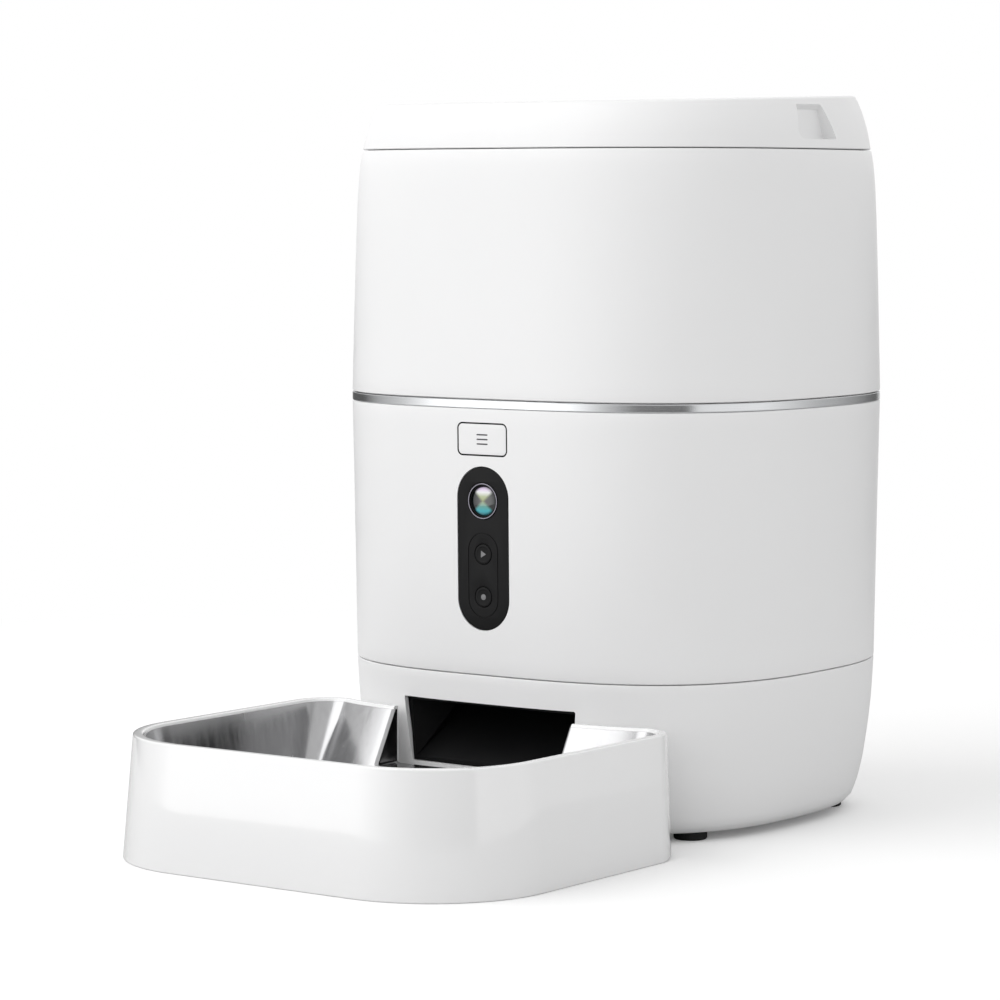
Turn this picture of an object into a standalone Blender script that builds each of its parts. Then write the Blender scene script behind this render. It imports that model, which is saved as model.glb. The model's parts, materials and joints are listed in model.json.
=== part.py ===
"""Pet feeder with camera, modelled piece by piece.

The tower is a rounded rectangular column: base, main housing, bright band, lift-off
hopper and lift-off lid. The food tray with its steel liner docks in front of the base.
All lengths are in metres. The feeder faces -Y and stands on the plane z = 0. Pieces are
placed from the tower's upright axis, and one empty carries that axis to its place.
"""
import math

import bmesh
import bpy

# General fits
CLEARANCE = 0.0003
SEAM_GAP = 0.0005
OVERRUN = 0.004
WALL = 0.0025
ROUND_SIDES = 20
SMALL_SIDES = 12
SECTION_SIDES = 36
SMOOTH_ANGLE = math.radians(35)
MERGE_DISTANCE = 0.00001

# Tower, outside
BODY_WIDTH = 0.2442
BODY_DEPTH = 0.2240
SECTION_POWER_ACROSS = 3.12
SECTION_POWER_DEEP = 2.64
FOOT_HEIGHT = 0.0040
BASE_HEIGHT = 0.0722
HOUSING_HEIGHT = 0.1266
BAND_HEIGHT = 0.0045
HOPPER_HEIGHT = 0.1179
LID_HEIGHT = 0.0248
LID_SLOPE_SHARE = 0.0318
LIP_HEIGHT = 0.0060
LIP_THICKNESS = 0.0020

# Each row: share of the piece's height, share of the body's width and depth
BASE_SHARES = ((0.0, 0.868), (0.012, 0.882), (0.045, 0.9005), (0.12, 0.918), (0.24, 0.9365),
               (0.443, 0.956), (0.70, 0.973), (1.0, 0.983))
HOUSING_SHARES = ((0.0, 0.983), (0.20, 0.986), (0.45, 0.990), (0.70, 0.994), (1.0, 0.9995))
BAND_SHARES = ((0.0, 1.0), (1.0, 1.0))
HOPPER_SHARES = ((0.0, 1.0), (0.125, 0.997), (0.30, 0.993), (0.47, 0.9885), (0.63, 0.984),
                 (0.795, 0.978), (0.90, 0.972), (0.96, 0.966), (1.0, 0.959))
LID_SHARES = ((0.0, 0.958), (0.27, 0.948), (0.52, 0.935), (0.80, 0.914), (0.93, 0.901),
              (0.985, 0.891), (1.0, 0.880))

# Shares of the camera panel's height
LENS_SHARE = 0.7910
PLAY_KEY_SHARE = 0.4658
RECORD_KEY_SHARE = 0.2026

# Base pan with its tongue under the tray
PAN_THICKNESS = 0.0025
PAN_GAP = 0.0002
PAN_LEDGE_WIDTH = 0.0120
PAN_LEDGE_THICKNESS = 0.0030
TONGUE_WIDTH = 0.0600
TONGUE_REACH = 0.0440
PAN_SCREW_ANGLE = math.radians(60)
SPEAKER_SLOT_COUNT = 5
SPEAKER_SLOT_WIDTH = 0.0020
SPEAKER_SLOT_LENGTH = 0.0240
SPEAKER_SLOT_PITCH = 0.0045

# Feet and screws
FOOT_RADIUS = 0.0080
FOOT_CHAMFER = 0.0006
FOOT_INSET_ACROSS = 0.0371
FOOT_INSET_DEEP = 0.0510
SCREW_HEAD_RADIUS = 0.0030
SCREW_HEAD_HEIGHT = 0.0014
SCREW_SHANK_RADIUS = 0.0015
SCREW_SINK = 0.0017
SCREW_GRIP = 0.0022

# Food outlet and chute
OUTLET_DROP = 0.0137
OUTLET_HEIGHT = 0.0315
OUTLET_TOP_WIDTH = 0.1010
OUTLET_BOTTOM_WIDTH = 0.0950
CHUTE_WALL = 0.0016
CHUTE_MOUTH_SETBACK = 0.0032
CHUTE_DROP = 0.0165
DROP_WIDTH = 0.0440
DROP_EDGE = 0.0025
DROP_DEPTH = 0.0230

# Deck and metering chamber
DECK_RISE = 0.0391
DECK_THICKNESS = 0.0030
DECK_LEDGE_WIDTH = 0.0080
DECK_LEDGE_THICKNESS = 0.0030
DECK_SCREW_ANGLE = math.radians(45)
CHAMBER_RADIUS = 0.0500
CHAMBER_WALL = 0.0020
CHAMBER_HEIGHT = 0.0314
ROTOR_RADIUS = 0.0490
ROTOR_HUB_RADIUS = 0.0090
ROTOR_HEIGHT = 0.0245
ROTOR_LIFT = 0.0007
VANE_COUNT = 6
VANE_THICKNESS = 0.0025

# Drive
SHAFT_RADIUS = 0.0030
SHAFT_DROP = 0.0133
GEAR_MODULE = 0.0010
GEAR_TEETH = 36
PINION_TEETH = 12
GEAR_BACKLASH = 0.0003
GEAR_DEPTH_SHARE = 1.25
GEAR_DROP = 0.0113
GEAR_THICKNESS = 0.0060
GEAR_HUB_RADIUS = 0.0060
GEAR_HUB_HEIGHT = 0.0022
PINION_OVERLAP = 0.0006
MOTOR_SHAFT_RADIUS = 0.0015
MOTOR_SHAFT_SINK = 0.0060
BUSH_RADIUS = 0.0060
BUSH_FLANGE_RADIUS = 0.0085
BUSH_FLANGE_THICKNESS = 0.0016
BRACKET_THICKNESS = 0.0018
BRACKET_WIDTH = 0.0520
BRACKET_DEPTH = 0.0320
BRACKET_DROP = 0.0035
BRACKET_HOLE_RADIUS = 0.0040
GEARBOX_RADIUS = 0.0150
GEARBOX_HEIGHT = 0.0140
MOTOR_RADIUS = 0.0120
MOTOR_LENGTH = 0.0340
SMALL_CHAMFER = 0.0008

# Hopper funnel
FUNNEL_RISE = 0.0307
FUNNEL_FLANGE_HEIGHT = 0.0060
FUNNEL_WALL = 0.0020
THROAT_RADIUS = 0.0300
THROAT_REARWARD = 0.0120
THROAT_HEIGHT = 0.0040
WIPER_WIDTH = 0.0600
WIPER_DEPTH = 0.0030
WIPER_HEIGHT = 0.0052
WIPER_FORWARD = 0.0230

# Lid pieces
PLUG_DEPTH = 0.0122
PLUG_FLANGE_HEIGHT = 0.0020
PLUG_WALL = 0.0020
GASKET_SPACE = 0.0030
GASKET_DROP = 0.0040
GASKET_HEIGHT = 0.0040
RECESS_DEPTH = 0.0136
RECESS_RISE = 0.0046
RECESS_DROP = 0.0039
RECESS_FRONT_LOW = 0.0165
RECESS_FRONT_HIGH = 0.0122
RECESS_REAR_LOW = 0.0168
RECESS_REAR_HIGH = 0.0095
RECESS_RADIUS = 0.0045
RECESS_POCKET_WALL = 0.0018
DESICCANT_RADIUS = 0.0340
DESICCANT_WALL = 0.0018
DESICCANT_DEPTH = 0.0120
DESICCANT_CAP_THICKNESS = 0.0020
DESICCANT_SLOT_COUNT = 5
DESICCANT_SLOT_WIDTH = 0.0022
DESICCANT_SLOT_LENGTH = 0.0380
DESICCANT_SLOT_PITCH = 0.0080
DESICCANT_GRIP_LENGTH = 0.0100
DESICCANT_GRIP_WIDTH = 0.0020
DESICCANT_GRIP_HEIGHT = 0.0030

# Camera panel and keys
PANEL_RISE = 0.0217
PANEL_GAP = 0.0051
PANEL_WIDTH = 0.0296
LENS_RING_RADIUS = 0.0085
LENS_RING_WIDTH = 0.0008
LENS_WINDOW_THICKNESS = 0.0012
LENS_WINDOW_SINK = 0.0004
BARREL_WALL = 0.0018
BARREL_FLOOR = 0.0015
LENS_RADIUS = 0.0052
LENS_THICKNESS = 0.0020
ROUND_KEY_RADIUS = 0.0047
ROUND_KEY_FLANGE = 0.0011
KEY_FLANGE_THICKNESS = 0.0009
KEY_GAP = 0.0003
STEM_RADIUS = 0.0020
SET_KEY_DROP = 0.0064
SET_KEY_HEIGHT = 0.0159
SET_KEY_WIDTH = 0.0292
SET_KEY_CORNER = 0.0030
SET_KEY_GAP = 0.0006
SET_KEY_FLANGE = 0.0012
SET_KEY_BACK = 0.0014
CARRIER_WIDTH = 0.0400
CARRIER_DEPTH = 0.0090
CARRIER_BELOW = 0.0019
CARRIER_ABOVE = 0.0026
CARRIER_HOLE_SPARE = 0.0010
BOARD_THICKNESS = 0.0016
BOARD_WIDTH = 0.0360
SWITCH_WIDTH = 0.0060
SWITCH_THICKNESS = 0.0035
SWITCH_WELL_DEPTH = 0.0025
STEM_SUNK = 0.0012
MICROPHONE_RADIUS = 0.0030
MICROPHONE_LENGTH = 0.0030
MICROPHONE_ACROSS = 0.0120

# Electronics, battery box and power socket
MAIN_BOARD_WIDTH = 0.1000
MAIN_BOARD_DROP = 0.0282
MAIN_BOARD_SETBACK = 0.0220
RADIO_WIDTH = 0.0180
RADIO_HEIGHT = 0.0250
RADIO_THICKNESS = 0.0030
RADIO_ACROSS = 0.0300
RADIO_RISE = 0.0320
JACK_ACROSS = 0.0300
JACK_RISE = 0.0080
JACK_WIDTH = 0.0120
JACK_BORE_RADIUS = 0.0042
JACK_BORE_DEPTH = 0.0090
JACK_PIN_RADIUS = 0.0010
JACK_PIN_LENGTH = 0.0040
JACK_HOLE_RADIUS = 0.0050
BATTERY_WIDTH = 0.1100
BATTERY_SETBACK = 0.0320
BATTERY_DEPTH = 0.0660
BATTERY_HEIGHT = 0.0380
BATTERY_WALL = 0.0020
DOOR_RIM = 0.0040
CONTACT_THICKNESS = 0.0006
CONTACT_WIDTH = 0.0120
CONTACT_HEIGHT = 0.0160
SPEAKER_RADIUS = 0.0180
SPEAKER_HEIGHT = 0.0120
SPEAKER_FORWARD = 0.0450
SPEAKER_MAGNET_RADIUS = 0.0110
SPEAKER_BASKET_HEIGHT = 0.0050

# Food tray and liner
TRAY_INSET = 0.0149
TRAY_LENGTH = 0.1629
TRAY_REAR_GAP = 0.0017
TRAY_HEIGHT = 0.0576
TRAY_FLARE = 0.0050
TRAY_FRONT_RADIUS = 0.0550
TRAY_REAR_DIP = 0.0090
TRAY_REAR_POWER = 4
TRAY_REAR_RADIUS = 0.0190
TRAY_RIM_WIDTH = 0.0045
TRAY_RIM_ROUND = 0.0012
TRAY_INSIDE_DRAFT = 0.0080
TRAY_WALL = 0.0022
TRAY_REAR_WALL = 0.0030
TRAY_REAR_LEAN = 0.0265
TRAY_LEAST_RADIUS = 0.0040
TRAY_RIB = 0.0025
TRAY_HOLLOW_REACH = 0.0800
TRAY_HOLLOW_SPARE = 0.0050
TRAY_HOLLOW_LEAST = 0.0010
TRAY_FLOOR = 0.0025
TRAY_FOLD_DROP = 0.0126
TRAY_FOLD_WIDTH = 0.0028
FLOOR_FILLET = 0.0060
LINER_THICKNESS = 0.0008
LINER_DROP = 0.0002
LINER_SETBACK = 0.0012
CHANNEL_WIDER = 0.0036
CHANNEL_DROP = 0.0020

# Worked out from the sizes above
TRAY_REAR = BODY_DEPTH / 2 - TRAY_REAR_GAP
TRAY_FRONT = TRAY_REAR + TRAY_LENGTH
TRAY_WIDTH = BODY_WIDTH - 2 * TRAY_INSET
TOWER_REARWARD = (TRAY_FRONT + TRAY_FLARE - BODY_DEPTH / 2) / 2
BASE_TOP = FOOT_HEIGHT + BASE_HEIGHT
BAND_BOTTOM = BASE_TOP + HOUSING_HEIGHT
BAND_TOP = BAND_BOTTOM + BAND_HEIGHT
LID_BOTTOM = BAND_TOP + HOPPER_HEIGHT
BODY_TOP = LID_BOTTOM + LID_HEIGHT
FOOT_ACROSS = BODY_WIDTH / 2 - FOOT_INSET_ACROSS
FOOT_DEEP = BODY_DEPTH / 2 - FOOT_INSET_DEEP
PAN_BOTTOM = FOOT_HEIGHT + PAN_GAP
PAN_TOP = PAN_BOTTOM + PAN_THICKNESS
OUTLET_TOP = BASE_TOP - OUTLET_DROP
OUTLET_BOTTOM = OUTLET_TOP - OUTLET_HEIGHT
CHANNEL_WIDTH = OUTLET_TOP_WIDTH + CHANNEL_WIDER
CHANNEL_FLOOR = OUTLET_BOTTOM - CHANNEL_DROP
CHANNEL_FRONT = TRAY_REAR + TRAY_REAR_WALL + TRAY_REAR_LEAN
DROP_FRONT = CHAMBER_RADIUS - DROP_EDGE
DROP_REAR = DROP_FRONT - DROP_DEPTH
DECK_BOTTOM = BASE_TOP + DECK_RISE
DECK_TOP = DECK_BOTTOM + DECK_THICKNESS
CHAMBER_BOTTOM = DECK_TOP + CLEARANCE
CHAMBER_TOP = CHAMBER_BOTTOM + CHAMBER_HEIGHT
THROAT_BOTTOM = CHAMBER_TOP + CLEARANCE
SHAFT_BOTTOM = DECK_BOTTOM - SHAFT_DROP
GEAR_BOTTOM = DECK_BOTTOM - GEAR_DROP
GEAR_DISTANCE = GEAR_MODULE * (GEAR_TEETH + PINION_TEETH) / 2
BRACKET_PLATE_TOP = GEAR_BOTTOM - BRACKET_DROP
CARRIER_BACK = CARRIER_DEPTH + WALL
FUNNEL_TOP = BAND_TOP + FUNNEL_RISE
RECESS_FLOOR_OUT = BODY_WIDTH / 2 - RECESS_DEPTH
RECESS_BOTTOM = LID_BOTTOM + RECESS_RISE
RECESS_TOP = BODY_TOP - RECESS_DROP
SET_KEY_TOP = BAND_BOTTOM - SET_KEY_DROP
SET_KEY_BOTTOM = SET_KEY_TOP - SET_KEY_HEIGHT
PANEL_TOP = SET_KEY_BOTTOM - PANEL_GAP
PANEL_BOTTOM = BASE_TOP + PANEL_RISE
PANEL_HEIGHT = PANEL_TOP - PANEL_BOTTOM
LENS_HEIGHT = PANEL_BOTTOM + PANEL_HEIGHT * LENS_SHARE
PLAY_KEY_HEIGHT = PANEL_BOTTOM + PANEL_HEIGHT * PLAY_KEY_SHARE
RECORD_KEY_HEIGHT = PANEL_BOTTOM + PANEL_HEIGHT * RECORD_KEY_SHARE
MICROPHONE_HEIGHT = (PLAY_KEY_HEIGHT + RECORD_KEY_HEIGHT) / 2
CARRIER_BOTTOM = PANEL_BOTTOM - CARRIER_BELOW
CARRIER_TOP = SET_KEY_TOP + CARRIER_ABOVE
MAIN_BOARD_BOTTOM = BASE_TOP - MAIN_BOARD_DROP
MAIN_BOARD_REARWARD = BODY_DEPTH / 2 - MAIN_BOARD_SETBACK
RADIO_LEVEL = MAIN_BOARD_BOTTOM + RADIO_RISE
JACK_LEVEL = MAIN_BOARD_BOTTOM + JACK_RISE
BATTERY_REAR = BODY_DEPTH / 2 - BATTERY_SETBACK
BATTERY_FRONT = BATTERY_REAR - BATTERY_DEPTH

parts = None
guides = None
axis = None
finishes = {}


def start():
    """Clear the scene and make the two collections and the tower's axis."""
    global parts, guides, axis
    for item in list(bpy.data.objects):
        bpy.data.objects.remove(item, do_unlink=True)
    parts = bpy.data.collections.new("pet_feeder")
    guides = bpy.data.collections.new("cutters")
    for group in (parts, guides):
        bpy.context.scene.collection.children.link(group)
    axis = bpy.data.objects.new("tower_axis", None)
    axis.location = (0, TOWER_REARWARD, 0)
    parts.objects.link(axis)


def finish(name, colour, roughness, metallic=0.0):
    """Make one surface finish."""
    material = bpy.data.materials.new(name)
    material.use_nodes = True
    shader = material.node_tree.nodes["Principled BSDF"]
    shader.inputs["Base Color"].default_value = (*colour, 1)
    shader.inputs["Roughness"].default_value = roughness
    shader.inputs["Metallic"].default_value = metallic
    finishes[name] = material


def place(name, mesh, look, location=(0, 0, 0), turn=(0, 0, 0)):
    """Put a mesh in the scene, as a piece of the feeder or, with no look, as a guide."""
    item = bpy.data.objects.new(name, mesh)
    item.location = location
    item.rotation_euler = turn
    item.parent = axis
    if look:
        mesh.materials.append(finishes[look])
        parts.objects.link(item)
    else:
        guides.objects.link(item)
        item.hide_render = True
        item.display_type = "WIRE"
    return item


def boolean(item, other, operation):
    """Cut, join or keep what two solids share."""
    step = item.modifiers.new(operation.lower() + "_" + other.name, "BOOLEAN")
    step.operation = operation
    step.object = other
    step.solver = "EXACT"


def cut(item, *others):
    for other in others:
        boolean(item, other, "DIFFERENCE")


def join(item, *others):
    for other in others:
        boolean(item, other, "UNION")


def keep_shared(item, other):
    boolean(item, other, "INTERSECT")


def smooth(mesh):
    mesh.shade_smooth()
    mesh.set_sharp_from_angle(angle=SMOOTH_ANGLE)


def loft(name, rings, look, closed=False):
    """Skin a row of rings with the same number of points; a closed row ends where it starts."""
    shape = bmesh.new()
    rows = [[shape.verts.new(point) for point in ring] for ring in rings]
    pairs = list(zip(rows, rows[1:]))
    if closed:
        pairs.append((rows[-1], rows[0]))
    else:
        shape.faces.new(rows[0])
        shape.faces.new(rows[-1])
    for low, high in pairs:
        for k in range(len(low)):
            after = (k + 1) % len(low)
            shape.faces.new((low[k], low[after], high[after], high[k]))
    bmesh.ops.recalc_face_normals(shape, faces=shape.faces)
    mesh = bpy.data.meshes.new(name)
    shape.to_mesh(mesh)
    shape.free()
    smooth(mesh)
    return place(name, mesh, look)


def block(name, size, centre, look, rounding=0.0):
    """Make a box, with its edges rounded where a rounding is given."""
    shape = bmesh.new()
    bmesh.ops.create_cube(shape, size=1)
    bmesh.ops.scale(shape, vec=size, verts=shape.verts)
    mesh = bpy.data.meshes.new(name)
    shape.to_mesh(mesh)
    shape.free()
    item = place(name, mesh, look, centre)
    if rounding:
        edge = item.modifiers.new("rounded_edges", "BEVEL")
        edge.width = rounding
        edge.segments = 2
    return item


def turned(name, profile, look, location=(0, 0, 0), turn=(0, 0, 0), sides=ROUND_SIDES, ring=False):
    """Spin a profile of (radius, height) points, listed down its outer side, about Z."""
    points = [(radius, 0, height) for radius, height in profile]
    edges = [(k, k + 1) for k in range(len(points) - 1)]
    if ring:
        edges.append((len(points) - 1, 0))
    mesh = bpy.data.meshes.new(name)
    mesh.from_pydata(points, edges, [])
    item = place(name, mesh, look, location, turn)
    spin = item.modifiers.new("spin", "SCREW")
    spin.steps = sides
    spin.render_steps = sides
    spin.use_merge_vertices = True
    spin.merge_threshold = MERGE_DISTANCE
    return item


def rod(name, radius, low, high, look, location=(0, 0, 0), turn=(0, 0, 0), sides=ROUND_SIDES):
    profile = ((0, high), (radius, high), (radius, low), (0, low))
    return turned(name, profile, look, location, turn, sides)


def tube(name, outer, inner, low, high, look, location=(0, 0, 0), turn=(0, 0, 0), sides=ROUND_SIDES):
    profile = ((outer, high), (outer, low), (inner, low), (inner, high))
    return turned(name, profile, look, location, turn, sides, ring=True)


def prism(name, outlines, thickness, look, location=(0, 0, 0), turn=(0, 0, 0)):
    """Fill flat outlines in X and Y, holes among them, and give them a thickness along Z."""
    curve = bpy.data.curves.new(name + "_outline", "CURVE")
    curve.dimensions = "2D"
    curve.fill_mode = "BOTH"
    curve.extrude = thickness / 2
    for outline in outlines:
        line = curve.splines.new("POLY")
        line.points.add(len(outline) - 1)
        for point, (across, along) in zip(line.points, outline):
            point.co = (across, along, 0, 1)
        line.use_cyclic_u = True
    flat = bpy.data.objects.new(name + "_flat", curve)
    guides.objects.link(flat)
    bpy.context.view_layer.update()
    seen = flat.evaluated_get(bpy.context.evaluated_depsgraph_get())
    mesh = bpy.data.meshes.new_from_object(seen)
    bpy.data.objects.remove(flat)
    shape = bmesh.new()
    shape.from_mesh(mesh)
    bmesh.ops.remove_doubles(shape, verts=shape.verts, dist=MERGE_DISTANCE)
    bmesh.ops.recalc_face_normals(shape, faces=shape.faces)
    shape.to_mesh(mesh)
    shape.free()
    mesh.name = name
    mesh.materials.clear()
    return place(name, mesh, look, location, turn)


FACING_FRONT = (math.pi / 2, 0, 0)
FACING_REAR = (-math.pi / 2, 0, 0)
FACING_SIDE = (math.pi / 2, 0, math.pi / 2)


def rounded(half_width, low, high, radius, steps=6):
    """Outline of an upright rectangle with round corners, in width and height."""
    points = []
    corners = ((1, high - radius, 0), (-1, high - radius, 1), (-1, low + radius, 2), (1, low + radius, 3))
    for side, level, quarter in corners:
        for k in range(steps + 1):
            angle = (quarter + k / steps) * math.pi / 2
            points.append((side * (half_width - radius) + radius * math.cos(angle),
                           level + radius * math.sin(angle)))
    return points


def share_at(table, share):
    """Read the body's size share at a share of a piece's height."""
    for (low, low_size), (high, high_size) in zip(table, table[1:]):
        if share <= high:
            return low_size + (high_size - low_size) * (share - low) / (high - low)
    return table[-1][1]


def section_point(size_share, inset, angle):
    across = math.cos(angle)
    deep = math.sin(angle)
    half_width = BODY_WIDTH / 2 * size_share - inset
    half_depth = BODY_DEPTH / 2 * size_share - inset
    return (half_width * math.copysign(abs(across) ** (2 / SECTION_POWER_ACROSS), across),
            half_depth * math.copysign(abs(deep) ** (2 / SECTION_POWER_DEEP), deep))


def section(size_share, inset, height, slope=0.0):
    """One level ring of the tower, drawn in from its outside by an inset."""
    ring = []
    for k in range(SECTION_SIDES):
        x, y = section_point(size_share, inset, 2 * math.pi * k / SECTION_SIDES)
        ring.append((x, y, height + slope * y))
    return ring


def levels(table, bottom, top, inset, low=None, high=None):
    """Rings of one piece of the tower, upwards, trimmed to the heights low and high."""
    low = bottom if low is None else low
    high = top if high is None else high
    heights = [low]
    heights += [bottom + share * (top - bottom) for share, _ in table
                if low < bottom + share * (top - bottom) < high]
    heights.append(high)
    return [section(share_at(table, (h - bottom) / (top - bottom)), inset, h) for h in heights]


def base_share(height):
    return share_at(BASE_SHARES, (height - FOOT_HEIGHT) / (BASE_TOP - FOOT_HEIGHT))


def housing_share(height):
    return share_at(HOUSING_SHARES, (height - BASE_TOP) / (BAND_BOTTOM - BASE_TOP))


def hopper_share(height):
    return share_at(HOPPER_SHARES, (height - BAND_TOP) / (LID_BOTTOM - BAND_TOP))


def front_at(height):
    """How far the main housing's front stands before the tower's axis."""
    return BODY_DEPTH / 2 * housing_share(height)


def outlet_outline(spare):
    """The food outlet's outline, made larger all round by a spare width."""
    return [(-OUTLET_TOP_WIDTH / 2 - spare, OUTLET_TOP + spare),
            (-OUTLET_BOTTOM_WIDTH / 2 - spare, OUTLET_BOTTOM - spare),
            (OUTLET_BOTTOM_WIDTH / 2 + spare, OUTLET_BOTTOM - spare),
            (OUTLET_TOP_WIDTH / 2 + spare, OUTLET_TOP + spare)]


def screw(name, x, y, head_level, up):
    """A round-head screw; its head is above the level where up is true."""
    grip = SCREW_GRIP + PAN_THICKNESS
    profile = ((0, SCREW_HEAD_HEIGHT), (SCREW_HEAD_RADIUS - SMALL_CHAMFER, SCREW_HEAD_HEIGHT),
               (SCREW_HEAD_RADIUS, SCREW_HEAD_HEIGHT - SMALL_CHAMFER), (SCREW_HEAD_RADIUS, 0),
               (SCREW_SHANK_RADIUS, 0), (SCREW_SHANK_RADIUS, -grip), (0, -grip))
    turned(name, profile, "steel", (x, y, head_level), (0 if up else math.pi, 0, 0), SMALL_SIDES)


def make_base():
    """Base housing, pan with its tongue, feet and the pan's screws."""
    ledge_low = PAN_TOP + CLEARANCE
    ledge_high = ledge_low + PAN_LEDGE_THICKNESS
    top = BASE_TOP - SEAM_GAP / 2
    rings = levels(BASE_SHARES, FOOT_HEIGHT, BASE_TOP, 0, high=top)
    lip_share = housing_share(BASE_TOP)
    for inset, height in ((WALL + CLEARANCE, top), (WALL + CLEARANCE, top + LIP_HEIGHT),
                          (WALL + CLEARANCE + LIP_THICKNESS, top + LIP_HEIGHT),
                          (WALL + CLEARANCE + LIP_THICKNESS, top - LIP_HEIGHT)):
        rings.append(section(lip_share, inset, height))
    inner = levels(BASE_SHARES, FOOT_HEIGHT, BASE_TOP, WALL, low=ledge_high, high=top - 2 * LIP_HEIGHT)
    rings += reversed(inner)
    share = base_share(ledge_high)
    rings.append(section(share, WALL + PAN_LEDGE_WIDTH, ledge_high))
    rings.append(section(share, WALL + PAN_LEDGE_WIDTH, ledge_low))
    rings.append(section(base_share(ledge_low), WALL, ledge_low))
    rings.append(section(BASE_SHARES[0][1], WALL, FOOT_HEIGHT))
    base = loft("base_housing", rings, "white", closed=True)

    reach = BODY_DEPTH / 2
    outlet = prism("outlet_cutter", [outlet_outline(0)], reach, None, (0, -reach, 0), FACING_FRONT)
    slot_top = PAN_TOP + CLEARANCE / 2
    slot = block("tongue_slot_cutter", (TONGUE_WIDTH + 2 * CLEARANCE, PAN_LEDGE_WIDTH * 2, slot_top * 2),
                 (0, -BODY_DEPTH / 2 * BASE_SHARES[0][1], 0), None)
    jack = rod("jack_hole_cutter", JACK_HOLE_RADIUS, 0, reach, None,
               (JACK_ACROSS, MAIN_BOARD_REARWARD, JACK_LEVEL), FACING_REAR, SMALL_SIDES)
    cut(base, outlet, slot, jack)

    pan_share = BASE_SHARES[0][1]
    pan = loft("base_pan", [section(pan_share, WALL + CLEARANCE, PAN_BOTTOM),
                            section(pan_share, WALL + CLEARANCE, PAN_TOP)], "white")
    edge = BODY_DEPTH / 2 * pan_share - WALL
    tongue = block("tongue_shape", (TONGUE_WIDTH, TONGUE_REACH + PAN_LEDGE_WIDTH, PAN_THICKNESS),
                   (0, -edge - (TONGUE_REACH - PAN_LEDGE_WIDTH) / 2, PAN_BOTTOM + PAN_THICKNESS / 2), None)
    join(pan, tongue)
    door_size = (BATTERY_WIDTH - 2 * DOOR_RIM, BATTERY_REAR - BATTERY_FRONT - 2 * DOOR_RIM)
    door_centre = (0, (BATTERY_REAR + BATTERY_FRONT) / 2, PAN_BOTTOM + PAN_THICKNESS / 2)
    door_hole = block("door_hole_cutter", (*door_size, PAN_THICKNESS * 2), door_centre, None)
    cut(pan, door_hole)
    for k in range(SPEAKER_SLOT_COUNT):
        x = (k - (SPEAKER_SLOT_COUNT - 1) / 2) * SPEAKER_SLOT_PITCH
        slit = block(f"speaker_slot_cutter_{k + 1}", (SPEAKER_SLOT_WIDTH, SPEAKER_SLOT_LENGTH, PAN_THICKNESS * 2),
                     (x, -SPEAKER_FORWARD, PAN_BOTTOM + PAN_THICKNESS / 2), None)
        cut(pan, slit)
    block("battery_door", (door_size[0] - 2 * CLEARANCE, door_size[1] - 2 * CLEARANCE, PAN_THICKNESS),
          door_centre, "white")

    number = 0
    for side in (1, -1):
        for end in (1, -1):
            number += 1
            x, y = section_point(base_share(ledge_low), WALL + PAN_LEDGE_WIDTH / 2, PAN_SCREW_ANGLE)
            x *= side
            y *= end
            hole = rod(f"pan_screw_hole_{number}", SCREW_SHANK_RADIUS + CLEARANCE, -OVERRUN, BASE_TOP / 2, None,
                       (x, y, FOOT_HEIGHT), sides=SMALL_SIDES)
            sink = rod(f"pan_screw_sink_{number}", SCREW_HEAD_RADIUS + CLEARANCE, -OVERRUN, SCREW_SINK, None,
                       (x, y, PAN_BOTTOM), sides=SMALL_SIDES)
            cut(pan, hole, sink)
            cut(base, hole)
            screw(f"pan_screw_{number}", x, y, PAN_BOTTOM + SCREW_SINK - CLEARANCE, False)
            turned(f"foot_{number}", ((0, FOOT_HEIGHT - CLEARANCE), (FOOT_RADIUS, FOOT_HEIGHT - CLEARANCE),
                                      (FOOT_RADIUS, FOOT_CHAMFER), (FOOT_RADIUS - FOOT_CHAMFER, 0), (0, 0)),
                   "rubber", (side * FOOT_ACROSS, end * FOOT_DEEP, 0))


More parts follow.
